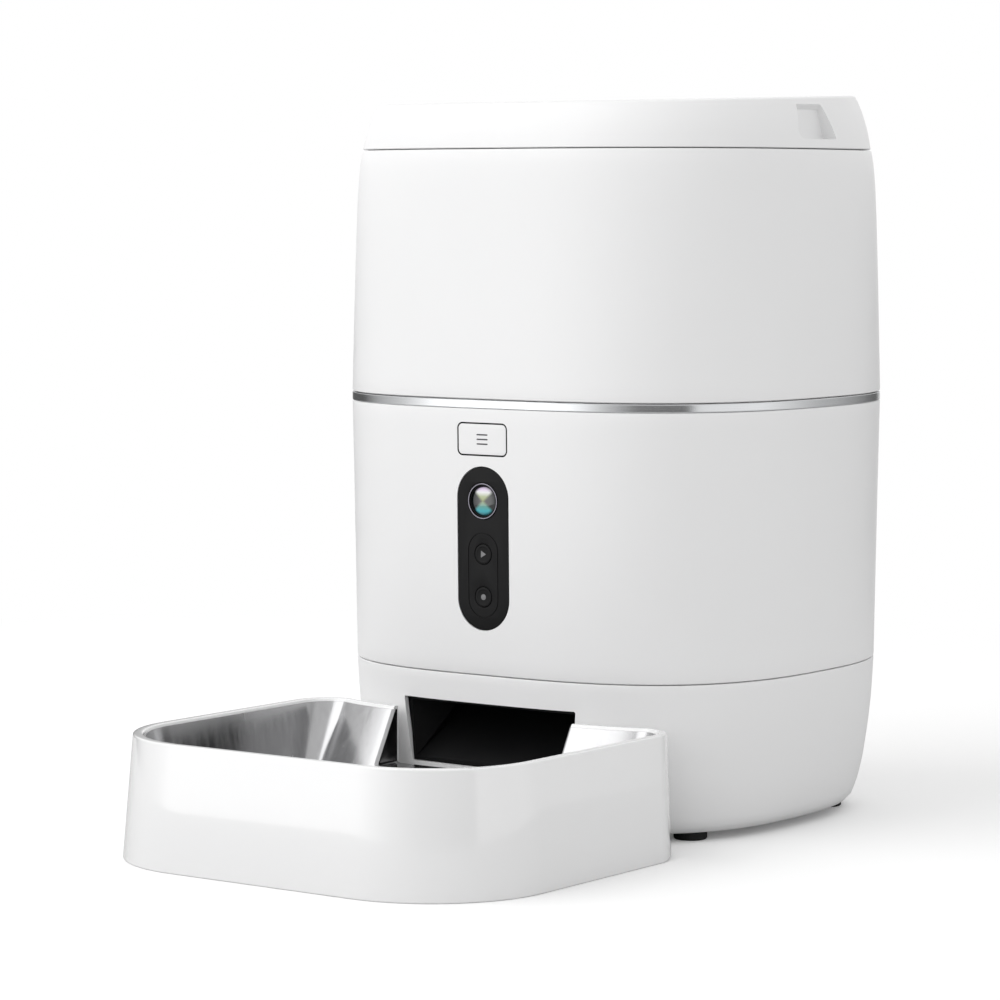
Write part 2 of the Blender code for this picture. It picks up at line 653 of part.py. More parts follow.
def make_housing():
    """Main housing with its deck ledge, and the bright band above it."""
    bottom = BASE_TOP + SEAM_GAP / 2
    top = BAND_BOTTOM - SEAM_GAP / 2
    rings = levels(HOUSING_SHARES, BASE_TOP, BAND_BOTTOM, 0, bottom, top)
    lip_top = BAND_TOP + LIP_HEIGHT
    for inset, height in ((WALL + CLEARANCE, top), (WALL + CLEARANCE, lip_top),
                          (WALL + CLEARANCE + LIP_THICKNESS, lip_top),
                          (WALL + CLEARANCE + LIP_THICKNESS, top - CLEARANCE),
                          (WALL, top - 2 * CLEARANCE - LIP_THICKNESS)):
        rings.append(section(BAND_SHARES[0][1] if height > top else HOUSING_SHARES[-1][1], inset, height))
    ledge_high = DECK_BOTTOM - CLEARANCE
    ledge_low = ledge_high - DECK_LEDGE_THICKNESS
    share = housing_share(ledge_high)
    rings.append(section(share, WALL, ledge_high))
    rings.append(section(share, WALL + DECK_LEDGE_WIDTH, ledge_high))
    rings.append(section(share, WALL + DECK_LEDGE_WIDTH, ledge_low))
    rings.append(section(housing_share(ledge_low), WALL, ledge_low))
    rings.append(section(housing_share(bottom), WALL, bottom))
    housing = loft("main_housing", rings, "white", closed=True)

    reach = BODY_DEPTH / 2
    panel_hole = prism("panel_hole_cutter", [panel_outline(CLEARANCE)], reach, None, (0, -reach, 0), FACING_FRONT)
    key_hole = prism("set_key_hole_cutter", [set_key_outline(0)], reach, None, (0, -reach, 0), FACING_FRONT)
    room = block("carrier_room_cutter", (CARRIER_WIDTH + 2 * CLEARANCE, CARRIER_BACK * 2, DECK_LEDGE_THICKNESS * 4),
                 (0, -front_at(ledge_low) + WALL + CARRIER_BACK, ledge_low), None)
    cut(housing, panel_hole, key_hole, room)

    low = BAND_BOTTOM + SEAM_GAP / 2
    high = BAND_TOP - SEAM_GAP / 2
    loft("trim_band", [section(1, 0, low), section(1, 0, high), section(1, WALL, high), section(1, WALL, low)],
         "chrome", closed=True)

    deck_share = housing_share(DECK_BOTTOM)
    deck = loft("dispenser_deck", [section(deck_share, WALL + CLEARANCE, DECK_BOTTOM),
                                   section(deck_share, WALL + CLEARANCE, DECK_TOP)], "white")
    bay = block("deck_bay_cutter", (CARRIER_WIDTH + 2 * CLEARANCE, CARRIER_BACK * 2, DECK_THICKNESS * 4),
                (0, -front_at(DECK_BOTTOM) + BOARD_THICKNESS, DECK_BOTTOM), None)
    drop = block("drop_hole_cutter", (DROP_WIDTH, DROP_FRONT - DROP_REAR, DECK_THICKNESS * 4),
                 (0, -(DROP_FRONT + DROP_REAR) / 2, DECK_BOTTOM), None)
    bush = rod("bush_hole_cutter", BUSH_RADIUS + CLEARANCE, -OVERRUN, DECK_THICKNESS + OVERRUN, None,
               (0, 0, DECK_BOTTOM), sides=SMALL_SIDES)
    cut(deck, bay, drop, bush)
    x, y = section_point(deck_share, WALL + DECK_LEDGE_WIDTH / 2, DECK_SCREW_ANGLE)
    for number, side in ((1, 1), (2, -1)):
        hole = rod(f"deck_screw_hole_{number}", SCREW_SHANK_RADIUS + CLEARANCE, -DECK_LEDGE_THICKNESS * 2,
                   DECK_THICKNESS * 2, None, (side * x, side * y, DECK_BOTTOM), sides=SMALL_SIDES)
        cut(deck, hole)
        cut(housing, hole)
        screw(f"deck_screw_{number}", side * x, side * y, DECK_TOP + CLEARANCE, True)


def panel_outline(spare):
    half = PANEL_WIDTH / 2 + spare
    return rounded(half, PANEL_BOTTOM - spare, PANEL_TOP + spare, half, 10)


def set_key_outline(spare):
    return rounded(SET_KEY_WIDTH / 2 + spare, SET_KEY_BOTTOM - spare, SET_KEY_TOP + spare, SET_KEY_CORNER + spare, 4)


def make_camera_and_keys():
    """Camera panel, lens, carrier, board, switches and the three keys."""
    outer = loft("front_shape", levels(HOUSING_SHARES, BASE_TOP, BAND_BOTTOM, 0), None)
    inner = loft("inside_shape", levels(HOUSING_SHARES, BASE_TOP, BAND_BOTTOM, WALL + CLEARANCE), None)
    behind = loft("panel_back_shape", levels(HOUSING_SHARES, BASE_TOP, BAND_BOTTOM, WALL), None)
    reach = BODY_DEPTH / 2
    panel = prism("camera_panel", [panel_outline(0)], reach, "black", (0, -reach, 0), FACING_FRONT)
    keep_shared(panel, outer)
    cut(panel, behind)
    lens_hole = rod("lens_hole_cutter", LENS_RING_RADIUS + CLEARANCE, 0, reach, None,
                    (0, -reach / 2, LENS_HEIGHT), FACING_FRONT)
    cut(panel, lens_hole)

    board_front = front_at(LENS_HEIGHT) - CARRIER_BACK
    carrier_room = reach - board_front - CLEARANCE
    carrier = block("camera_carrier", (CARRIER_WIDTH, carrier_room, CARRIER_TOP - CARRIER_BOTTOM),
                    (0, -reach + carrier_room / 2, (CARRIER_TOP + CARRIER_BOTTOM) / 2), "dark")
    keep_shared(carrier, inner)
    barrel_room = rod("barrel_room_cutter", LENS_RING_RADIUS + CARRIER_HOLE_SPARE, 0, reach, None,
                      (0, -reach / 2, LENS_HEIGHT), FACING_FRONT)
    microphone_room = rod("microphone_room_cutter", MICROPHONE_RADIUS + CLEARANCE, 0, reach, None,
                          (MICROPHONE_ACROSS, -reach / 2, MICROPHONE_HEIGHT), FACING_FRONT, SMALL_SIDES)
    set_room = prism("set_key_room_cutter", [set_key_outline(SET_KEY_FLANGE + CARRIER_HOLE_SPARE / 2)], reach,
                     None, (0, -reach, 0), FACING_FRONT)
    cut(carrier, barrel_room, microphone_room, set_room)

    board_middle = (0, -board_front + BOARD_THICKNESS / 2, (CARRIER_TOP + CARRIER_BOTTOM) / 2)
    block("front_board", (BOARD_WIDTH, BOARD_THICKNESS, CARRIER_TOP - CARRIER_BOTTOM), board_middle, "board")

    make_lens(board_front)
    rod("microphone", MICROPHONE_RADIUS, 0, MICROPHONE_LENGTH, "steel",
        (MICROPHONE_ACROSS, -board_front - CLEARANCE, MICROPHONE_HEIGHT), FACING_FRONT, SMALL_SIDES)
    for name, height in (("play", PLAY_KEY_HEIGHT), ("record", RECORD_KEY_HEIGHT)):
        make_round_key(name, height, panel, carrier, board_front)
    make_set_key(outer, board_front)


def make_lens(board_front):
    """Bright ring, window, barrel, lens and light sensor, from the front to the board."""
    face = front_at(LENS_HEIGHT)
    centre = (0, 0, LENS_HEIGHT)
    tube("lens_ring", LENS_RING_RADIUS, LENS_RING_RADIUS - LENS_RING_WIDTH, face - WALL, face + CLEARANCE,
         "chrome", centre, FACING_FRONT)
    window_front = face - LENS_WINDOW_SINK
    window_back = window_front - LENS_WINDOW_THICKNESS
    rod("lens_window", LENS_RING_RADIUS - LENS_RING_WIDTH - CLEARANCE, window_back, window_front, "window",
        centre, FACING_FRONT)
    barrel_front = face - WALL - CLEARANCE
    barrel_back = board_front + CLEARANCE
    inside = LENS_RING_RADIUS - BARREL_WALL
    turned("lens_barrel", ((LENS_RING_RADIUS, barrel_front), (LENS_RING_RADIUS, barrel_back), (0, barrel_back),
                           (0, barrel_back + BARREL_FLOOR), (inside, barrel_back + BARREL_FLOOR),
                           (inside, barrel_front)), "dark", centre, FACING_FRONT, ring=True)
    seat = inside - CLEARANCE
    back = window_back - CLEARANCE - LENS_THICKNESS * 2
    turned("camera_lens", ((0, back + LENS_THICKNESS * 2), (LENS_RADIUS / 2, back + LENS_THICKNESS * 1.8),
                           (LENS_RADIUS, back + LENS_THICKNESS), (seat, back + LENS_THICKNESS), (seat, back),
                           (0, back)), "window", centre, FACING_FRONT)


def make_switch(name, height, board_front):
    """A tact switch on the board, with the well that its key's stem enters."""
    back = board_front + CLEARANCE
    case = block(name + "_switch", (SWITCH_WIDTH, SWITCH_THICKNESS, SWITCH_WIDTH),
                 (0, -back - SWITCH_THICKNESS / 2, height), "dark")
    face = back + SWITCH_THICKNESS
    well = rod(name + "_well_cutter", STEM_RADIUS + CLEARANCE, face - SWITCH_WELL_DEPTH, face + OVERRUN, None,
               (0, 0, height), FACING_FRONT, SMALL_SIDES)
    cut(case, well)
    return face - STEM_SUNK


def make_round_key(name, height, panel, carrier, board_front):
    """A round key in the panel, held by a flange behind it."""
    reach = BODY_DEPTH / 2
    hole = rod(name + "_key_hole_cutter", ROUND_KEY_RADIUS + KEY_GAP, 0, reach, None,
               (0, -reach / 2, height), FACING_FRONT)
    flange = ROUND_KEY_RADIUS + ROUND_KEY_FLANGE
    room = rod(name + "_key_room_cutter", flange + CARRIER_HOLE_SPARE, 0, reach, None,
               (0, -reach / 2, height), FACING_FRONT)
    cut(panel, hole)
    cut(carrier, room)
    face = front_at(height)
    flange_front = face - WALL - CLEARANCE * 2
    stem_end = make_switch(name, height, board_front)
    profile = ((0, face), (ROUND_KEY_RADIUS - KEY_GAP, face), (ROUND_KEY_RADIUS, face - KEY_GAP),
               (ROUND_KEY_RADIUS, flange_front), (flange, flange_front),
               (flange, flange_front - KEY_FLANGE_THICKNESS), (STEM_RADIUS, flange_front - KEY_FLANGE_THICKNESS),
               (STEM_RADIUS, stem_end), (0, stem_end))
    turned(name + "_key", profile, "black", (0, 0, height), FACING_FRONT)


def make_set_key(outer, board_front):
    """The wide white key above the panel."""
    height = (SET_KEY_BOTTOM + SET_KEY_TOP) / 2
    face = front_at(height)
    neck_back = face - WALL - SET_KEY_BACK
    depth = BODY_DEPTH / 2 + OVERRUN - neck_back
    key = prism("set_key", [set_key_outline(-SET_KEY_GAP)], depth, "white",
                (0, -neck_back - depth / 2, 0), FACING_FRONT)
    keep_shared(key, outer)
    flange_front = face - WALL - CLEARANCE * 2
    flange = prism("set_key_flange_shape", [set_key_outline(SET_KEY_FLANGE)], KEY_FLANGE_THICKNESS, None,
                   (0, -flange_front + KEY_FLANGE_THICKNESS / 2, 0), FACING_FRONT)
    stem_end = make_switch("set", height, board_front)
    stem = rod("set_key_stem_shape", STEM_RADIUS, stem_end, neck_back + SET_KEY_BACK / 2, None,
               (0, 0, height), FACING_FRONT, SMALL_SIDES)
    join(key, flange, stem)


def outlet_half(height):
    """Half the food outlet's width at a height."""
    widening = (OUTLET_TOP_WIDTH - OUTLET_BOTTOM_WIDTH) / 2
    return OUTLET_BOTTOM_WIDTH / 2 + widening * (height - OUTLET_BOTTOM) / (OUTLET_TOP - OUTLET_BOTTOM)


def make_chute():
    """Black chute from the deck's drop hole to the outlet: a trough and its front cover."""
    top = DECK_BOTTOM - CLEARANCE
    bend = top - CHUTE_DROP
    mouth = BODY_DEPTH / 2 * base_share(OUTLET_BOTTOM) - CHUTE_MOUTH_SETBACK
    mouth_top = OUTLET_TOP - CLEARANCE
    mouth_bottom = OUTLET_BOTTOM + CLEARANCE
    roof = mouth_top - CHUTE_WALL
    inside = DROP_WIDTH / 2
    outside = inside + CHUTE_WALL

    def mirrored(points):
        return points + [(-x, y, z) for x, y, z in reversed(points)]

    def trough_at(height):
        front = -DROP_FRONT + CLEARANCE
        return mirrored([(inside, front, height), (outside, front, height), (outside, CHUTE_WALL - DROP_REAR, height)]
                        ) + [(-inside, -DROP_REAR, height), (inside, -DROP_REAR, height)]

    def mouth_point(height, inset):
        return (outlet_half(height) - CLEARANCE - inset, -mouth, height)

    def cover_at(height):
        return mirrored([(outside, -DROP_FRONT, height), (outside, -DROP_FRONT - CHUTE_WALL, height)])

    brim = roof - CLEARANCE
    floor = mouth_bottom + CHUTE_WALL
    x, y, z = mouth_point(floor, CHUTE_WALL)
    trough_mouth = mirrored([mouth_point(brim, CHUTE_WALL), mouth_point(brim, 0), mouth_point(mouth_bottom, 0)])
    trough_mouth += [(-x, y, z), (x, y, z)]
    loft("food_chute", [trough_at(top), trough_at(bend), trough_mouth], "dark")
    cover_mouth = mirrored([mouth_point(roof, 0), mouth_point(mouth_top, 0)])
    loft("chute_cover", [cover_at(top), cover_at(bend), cover_mouth], "dark")


def gear_outline(teeth, spin):
    """Outline of a spur gear with straight-sided teeth, one tooth centred on the spin angle."""
    pitch_radius = GEAR_MODULE * teeth / 2
    tip = pitch_radius + GEAR_MODULE
    depth = GEAR_DEPTH_SHARE
    root = pitch_radius - GEAR_MODULE * depth
    step = 2 * math.pi / teeth
    half = step / 4 - GEAR_BACKLASH / 2 / pitch_radius
    lean = math.tan(math.radians(20)) * GEAR_MODULE
    points = []
    for k in range(teeth):
        middle = spin + k * step
        for radius, angle in ((root, -half - depth * lean / pitch_radius), (tip, -half + lean / pitch_radius),
                              (tip, half - lean / pitch_radius), (root, half + depth * lean / pitch_radius)):
            points.append((radius * math.cos(middle + angle), radius * math.sin(middle + angle)))
    return points


def circle(radius, sides=SMALL_SIDES):
    return [(radius * math.cos(2 * math.pi * k / sides), radius * math.sin(2 * math.pi * k / sides))
            for k in range(sides)]


def rotor_outline():
    """Outline of the metering wheel: a round hub with straight vanes."""
    points = []
    hub_angle = math.asin(VANE_THICKNESS / 2 / ROTOR_HUB_RADIUS)
    tip_angle = math.asin(VANE_THICKNESS / 2 / ROTOR_RADIUS)
    step = 2 * math.pi / VANE_COUNT
    for k in range(VANE_COUNT):
        middle = k * step
        for radius, angle in ((ROTOR_HUB_RADIUS, -hub_angle), (ROTOR_RADIUS, -tip_angle),
                              (ROTOR_RADIUS, tip_angle), (ROTOR_HUB_RADIUS, hub_angle),
                              (ROTOR_HUB_RADIUS, step / 2)):
            points.append((radius * math.cos(middle + angle), radius * math.sin(middle + angle)))
    return points


def make_drive():
    """Metering chamber and wheel, shaft, gears, motor and its bracket."""
    tube("metering_ring", CHAMBER_RADIUS + CHAMBER_WALL, CHAMBER_RADIUS, CHAMBER_BOTTOM, CHAMBER_TOP, "white")
    wheel_bottom = DECK_TOP + ROTOR_LIFT
    prism("metering_wheel", [rotor_outline(), circle(SHAFT_RADIUS + CLEARANCE)], ROTOR_HEIGHT, "rubber",
          (0, 0, wheel_bottom + ROTOR_HEIGHT / 2))
    rod("wheel_shaft", SHAFT_RADIUS, SHAFT_BOTTOM, wheel_bottom + ROTOR_HEIGHT, "steel", sides=SMALL_SIDES)
    flange_top = DECK_BOTTOM - CLEARANCE
    turned("shaft_bush", ((BUSH_RADIUS, DECK_TOP), (BUSH_RADIUS, flange_top), (BUSH_FLANGE_RADIUS, flange_top),
                          (BUSH_FLANGE_RADIUS, flange_top - BUSH_FLANGE_THICKNESS),
                          (SHAFT_RADIUS + CLEARANCE, flange_top - BUSH_FLANGE_THICKNESS),
                          (SHAFT_RADIUS + CLEARANCE, DECK_TOP)), "brass", sides=SMALL_SIDES, ring=True)
    gear_middle = GEAR_BOTTOM + GEAR_THICKNESS / 2
    gear = prism("drive_gear", [gear_outline(GEAR_TEETH, 0), circle(SHAFT_RADIUS + CLEARANCE)], GEAR_THICKNESS,
                 "gear", (0, 0, gear_middle))
    hub_top = GEAR_BOTTOM + GEAR_THICKNESS + GEAR_HUB_HEIGHT
    hub = tube("gear_hub_shape", GEAR_HUB_RADIUS, SHAFT_RADIUS + CLEARANCE, gear_middle, hub_top, None,
               sides=SMALL_SIDES)
    join(gear, hub)
    motor_at = (0, GEAR_DISTANCE, 0)
    pinion_thickness = GEAR_THICKNESS + 2 * PINION_OVERLAP
    facing = -math.pi / 2 + math.pi / PINION_TEETH
    prism("motor_pinion", [gear_outline(PINION_TEETH, facing), circle(MOTOR_SHAFT_RADIUS + CLEARANCE)],
          pinion_thickness, "brass", (0, GEAR_DISTANCE, gear_middle))
    plate_bottom = BRACKET_PLATE_TOP - BRACKET_THICKNESS
    gearbox_top = plate_bottom - CLEARANCE
    gearbox_bottom = gearbox_top - GEARBOX_HEIGHT
    rod("motor_shaft", MOTOR_SHAFT_RADIUS, gearbox_top - MOTOR_SHAFT_SINK, gear_middle + pinion_thickness / 2,
        "steel", motor_at, sides=SMALL_SIDES)
    well_radius = MOTOR_SHAFT_RADIUS + CLEARANCE
    well_floor = gearbox_top - MOTOR_SHAFT_SINK - CLEARANCE
    turned("gearbox", ((well_radius, gearbox_top), (GEARBOX_RADIUS - SMALL_CHAMFER, gearbox_top),
                       (GEARBOX_RADIUS, gearbox_top - SMALL_CHAMFER), (GEARBOX_RADIUS, gearbox_bottom),
                       (0, gearbox_bottom), (0, well_floor), (well_radius, well_floor)), "steel", motor_at,
           ring=True)
    motor_top = gearbox_bottom - CLEARANCE
    motor_bottom = motor_top - MOTOR_LENGTH
    turned("motor", ((0, motor_top), (MOTOR_RADIUS, motor_top), (MOTOR_RADIUS, motor_bottom + SMALL_CHAMFER),
                     (MOTOR_RADIUS - SMALL_CHAMFER, motor_bottom), (0, motor_bottom)), "steel", motor_at)
    half = BRACKET_WIDTH / 2
    top = DECK_BOTTOM - CLEARANCE
    thick = BRACKET_THICKNESS
    strap = [(-half, plate_bottom), (half, plate_bottom), (half, top), (half - thick, top),
             (half - thick, BRACKET_PLATE_TOP), (thick - half, BRACKET_PLATE_TOP), (thick - half, top),
             (-half, top)]
    bracket = prism("motor_bracket", [strap], BRACKET_DEPTH, "steel", motor_at, FACING_FRONT)
    hole = rod("bracket_hole_cutter", BRACKET_HOLE_RADIUS, plate_bottom - OVERRUN, top, None, motor_at,
               sides=SMALL_SIDES)
    cut(bracket, hole)


def make_hopper():
    """Lift-off hopper: outer shell, funnel and the wiper at its throat."""
    bottom = BAND_TOP + SEAM_GAP / 2
    top = LID_BOTTOM - SEAM_GAP / 2
    rings = levels(HOPPER_SHARES, BAND_TOP, LID_BOTTOM, 0, bottom, top)
    rings += reversed(levels(HOPPER_SHARES[::2], BAND_TOP, LID_BOTTOM, WALL, bottom, top))
    loft("hopper_shell", rings, "white", closed=True)

    flange_bottom = FUNNEL_TOP - FUNNEL_FLANGE_HEIGHT
    share = hopper_share(FUNNEL_TOP)
    edge = WALL + CLEARANCE

    def throat(radius, height):
        ring = []
        for k in range(SECTION_SIDES):
            angle = 2 * math.pi * k / SECTION_SIDES
            ring.append((radius * math.cos(angle), THROAT_REARWARD + radius * math.sin(angle), height))
        return ring

    neck_top = THROAT_BOTTOM + THROAT_HEIGHT
    cover_radius = CHAMBER_RADIUS - THROAT_REARWARD
    outside = [section(share, edge, FUNNEL_TOP), section(share, edge, flange_bottom),
               throat(cover_radius + FUNNEL_WALL, neck_top + FUNNEL_WALL)]
    cover = [throat(cover_radius, neck_top), throat(cover_radius, THROAT_BOTTOM)]
    inside = [throat(THROAT_RADIUS, THROAT_BOTTOM), throat(THROAT_RADIUS, neck_top),
              section(share, edge + FUNNEL_WALL, flange_bottom), section(share, edge + FUNNEL_WALL, FUNNEL_TOP)]
    loft("hopper_funnel", outside + cover + inside, "white", closed=True)
    wiper_top = THROAT_BOTTOM - CLEARANCE
    block("throat_wiper", (WIPER_WIDTH, WIPER_DEPTH, WIPER_HEIGHT),
          (0, -WIPER_FORWARD, wiper_top - WIPER_HEIGHT / 2), "rubber")


def make_lid():
    """Lift-off lid: shell with finger recesses, plug, seal and desiccant holder."""
    bottom = LID_BOTTOM + SEAM_GAP / 2
    height = BODY_TOP - LID_BOTTOM

    def lid_ring(share, inset, lift=0.0):
        size = share_at(LID_SHARES, share)
        return section(size, inset, LID_BOTTOM + share * height - lift, LID_SLOPE_SHARE * share)

    first = SEAM_GAP / 2 / height
    outside = [lid_ring(first, 0)] + [lid_ring(share, 0) for share, _ in LID_SHARES[1:]]
    inside = [lid_ring(first, WALL)] + [lid_ring(share, WALL) for share, _ in LID_SHARES[1:4]]
    inside.append(lid_ring(LID_SHARES[-1][0], WALL * 2, WALL))
    shell = loft("lid_shell", outside[::-1] + inside, "white")

    middle = [lid_ring(first * 2, WALL / 2)] + [lid_ring(share, WALL / 2) for share, _ in LID_SHARES[1:-2]]
    middle.append(lid_ring(LID_SHARES[-1][0], WALL, WALL / 2))
    core = loft("lid_core_shape", middle, None)
    for name, side in (("right", 1), ("left", -1)):
        reach = BODY_WIDTH / 2
        pocket_in = RECESS_FLOOR_OUT - RECESS_POCKET_WALL
        pocket = prism(f"pocket_{name}_shape", [recess_outline(RECESS_POCKET_WALL)], reach - pocket_in, None,
                       (side * (reach + pocket_in) / 2, 0, 0), FACING_SIDE)
        keep_shared(pocket, core)
        recess = prism(f"recess_{name}_cutter", [recess_outline(0)], reach - RECESS_FLOOR_OUT + OVERRUN, None,
                       (side * (reach + OVERRUN + RECESS_FLOOR_OUT) / 2, 0, 0), FACING_SIDE)
        join(shell, pocket)
        cut(shell, recess)

    rim = LID_SHARES[0][1]
    low = LID_BOTTOM - PLUG_DEPTH
    flange_low = bottom + CLEARANCE
    flange_high = flange_low + PLUG_FLANGE_HEIGHT
    plug_inset = WALL + GASKET_SPACE
    flange_share = share_at(LID_SHARES, (flange_high - LID_BOTTOM) / height)
    plug = [section(rim, plug_inset, low), section(rim, plug_inset, flange_low),
            section(flange_share, WALL + CLEARANCE, flange_low),
            section(flange_share, WALL + CLEARANCE, flange_high),
            section(rim, plug_inset + PLUG_WALL, flange_high), section(rim, plug_inset + PLUG_WALL, low + PLUG_WALL)]
    loft("lid_plug", plug, "white")
    seal_high = LID_BOTTOM - GASKET_DROP
    seal_low = seal_high - GASKET_HEIGHT
    loft("lid_seal", [section(rim, WALL + CLEARANCE, seal_low), section(rim, WALL + CLEARANCE, seal_high),
                      section(rim, plug_inset - CLEARANCE, seal_high),
                      section(rim, plug_inset - CLEARANCE, seal_low)], "seal", closed=True)
    holder_top = low - CLEARANCE
    holder_bottom = holder_top - DESICCANT_DEPTH
    inside_radius = DESICCANT_RADIUS - DESICCANT_WALL
    turned("desiccant_holder", ((0, holder_top), (DESICCANT_RADIUS, holder_top), (DESICCANT_RADIUS, holder_bottom),
                                (inside_radius, holder_bottom), (inside_radius, holder_top - DESICCANT_WALL),
                                (0, holder_top - DESICCANT_WALL)), "white")
    cap_top = holder_bottom - CLEARANCE
    cap = rod("desiccant_cap", DESICCANT_RADIUS, cap_top - DESICCANT_CAP_THICKNESS, cap_top, "white")
    for k in range(DESICCANT_SLOT_COUNT):
        x = (k - (DESICCANT_SLOT_COUNT - 1) / 2) * DESICCANT_SLOT_PITCH
        if k == (DESICCANT_SLOT_COUNT - 1) / 2:
            continue
        slit = block(f"vent_slot_cutter_{k + 1}", (DESICCANT_SLOT_WIDTH, DESICCANT_SLOT_LENGTH,
                                                   DESICCANT_CAP_THICKNESS * 2), (x, 0, cap_top), None)
        cut(cap, slit)
    grip_overlap = DESICCANT_CAP_THICKNESS / 2
    grip = block("cap_grip_shape", (DESICCANT_GRIP_WIDTH, DESICCANT_GRIP_LENGTH, DESICCANT_GRIP_HEIGHT + grip_overlap),
                 (0, 0, cap_top - DESICCANT_CAP_THICKNESS + grip_overlap / 2 - DESICCANT_GRIP_HEIGHT / 2), None)
    join(cap, grip)


def recess_outline(spare):
    """Finger recess seen from the side: sharp top, leaning rear side, round bottom corners."""
    front = -RECESS_FRONT_LOW - spare
    low = RECESS_BOTTOM - spare
    high = RECESS_TOP + spare
    radius = RECESS_RADIUS + spare
    points = [(-RECESS_FRONT_HIGH - spare, high)]
    for k in range(5):
        angle = math.pi + k / 4 * math.pi / 2
        points.append((front + radius + radius * math.cos(angle), low + radius + radius * math.sin(angle)))
    points.append((RECESS_REAR_LOW + spare - radius / 4, low))
    points.append((RECESS_REAR_LOW + spare, low + radius / 2))
    points.append((RECESS_REAR_HIGH + spare, high))
    return points


def make_electronics():
    """Main board, radio, power socket, speaker, battery box and its contacts."""
    board_top = DECK_BOTTOM - CLEARANCE
    block("main_board", (MAIN_BOARD_WIDTH, BOARD_THICKNESS, board_top - MAIN_BOARD_BOTTOM),
          (0, MAIN_BOARD_REARWARD, (board_top + MAIN_BOARD_BOTTOM) / 2), "board")
    board_face = MAIN_BOARD_REARWARD - BOARD_THICKNESS / 2 - CLEARANCE
    block("radio_module", (RADIO_WIDTH, RADIO_THICKNESS, RADIO_HEIGHT),
          (RADIO_ACROSS, board_face - RADIO_THICKNESS / 2, RADIO_LEVEL), "chip")

    jack_back = MAIN_BOARD_REARWARD + BOARD_THICKNESS / 2 + CLEARANCE
    jack_edge = (JACK_ACROSS + JACK_WIDTH / 2 + WALL) / (BODY_WIDTH / 2)
    shrink = (1 - jack_edge ** SECTION_POWER_ACROSS) ** (1 / SECTION_POWER_DEEP)
    lowest_share = base_share(JACK_LEVEL - JACK_WIDTH / 2)
    jack_front = BODY_DEPTH / 2 * lowest_share * shrink - WALL - CLEARANCE
    jack = block("power_socket", (JACK_WIDTH, jack_front - jack_back, JACK_WIDTH),
                 (JACK_ACROSS, (jack_front + jack_back) / 2, JACK_LEVEL), "dark")
    bore = tube("socket_bore_cutter", JACK_BORE_RADIUS, JACK_PIN_RADIUS, jack_front - JACK_BORE_DEPTH,
                jack_front + OVERRUN, None, (JACK_ACROSS, 0, JACK_LEVEL), FACING_REAR, SMALL_SIDES)
    shorten = rod("socket_pin_cutter", JACK_BORE_RADIUS / 2, jack_front - JACK_BORE_DEPTH + JACK_PIN_LENGTH,
                  jack_front + OVERRUN, None, (JACK_ACROSS, 0, JACK_LEVEL), FACING_REAR, SMALL_SIDES)
    cut(jack, bore, shorten)

    speaker_low = PAN_TOP + CLEARANCE
    basket = speaker_low + SPEAKER_BASKET_HEIGHT
    speaker_high = speaker_low + SPEAKER_HEIGHT
    turned("speaker", ((0, speaker_high), (SPEAKER_MAGNET_RADIUS, speaker_high), (SPEAKER_MAGNET_RADIUS, basket),
                       (SPEAKER_RADIUS, speaker_low + SPEAKER_BASKET_HEIGHT / 2), (SPEAKER_RADIUS, speaker_low),
                       (0, speaker_low)), "chip", (0, -SPEAKER_FORWARD, 0))

    box_low = PAN_TOP + CLEARANCE
    depth = BATTERY_REAR - BATTERY_FRONT
    middle_y = (BATTERY_REAR + BATTERY_FRONT) / 2
    box = block("battery_box", (BATTERY_WIDTH, depth, BATTERY_HEIGHT),
                (0, middle_y, box_low + BATTERY_HEIGHT / 2), "white")
    room = block("battery_room_cutter", (BATTERY_WIDTH - 2 * BATTERY_WALL, depth - 2 * BATTERY_WALL, BATTERY_HEIGHT),
                 (0, middle_y, box_low + BATTERY_HEIGHT / 2 - BATTERY_WALL), None)
    cut(box, room)
    for name, side in (("positive", 1), ("negative", -1)):
        block("battery_contact_" + name, (CONTACT_THICKNESS, CONTACT_WIDTH, CONTACT_HEIGHT),
              (side * (BATTERY_WIDTH / 2 - BATTERY_WALL - CLEARANCE - CONTACT_THICKNESS / 2), middle_y,
               box_low + BATTERY_HEIGHT / 2), "brass")


def tray_ring(side_offset, rear_offset, side_height, rear_height):
    """One ring of the tray: offsets push the front and sides, or the rear, outwards."""
    half = TRAY_WIDTH / 2 + side_offset
    front = TRAY_FRONT + side_offset
    corner = TRAY_FRONT_RADIUS + side_offset
    ear = max(TRAY_REAR_RADIUS + side_offset, TRAY_LEAST_RADIUS)
    ear_x = half - ear
    rear = rear_offset - TRAY_REAR
    ear_y = rear + TRAY_REAR_DIP - ear
    right = []
    for k in range(1, 4):
        right.append(((half - corner) * k / 4, -front, side_height))
    for k in range(9):
        angle = -math.pi / 2 + k / 8 * math.pi / 2
        right.append((half - corner + corner * math.cos(angle), corner - front + corner * math.sin(angle),
                      side_height))
    for k in range(1, 4):
        right.append((half, corner - front + (ear_y + front - corner) * k / 4, side_height))
    for k in range(7):
        angle = k / 6 * math.pi / 2
        height = side_height + (rear_height - side_height) * math.sin(angle) ** 2
        right.append((ear_x + ear * math.cos(angle), ear_y + ear * math.sin(angle), height))
    for k in range(7, 0, -1):
        x = ear_x * k / 8
        right.append((x, rear + TRAY_REAR_DIP * (x / ear_x) ** TRAY_REAR_POWER, rear_height))
    left = [(-x, y, z) for x, y, z in reversed(right)]
    return [(0, -front, side_height)] + right + [(0, rear, rear_height)] + left


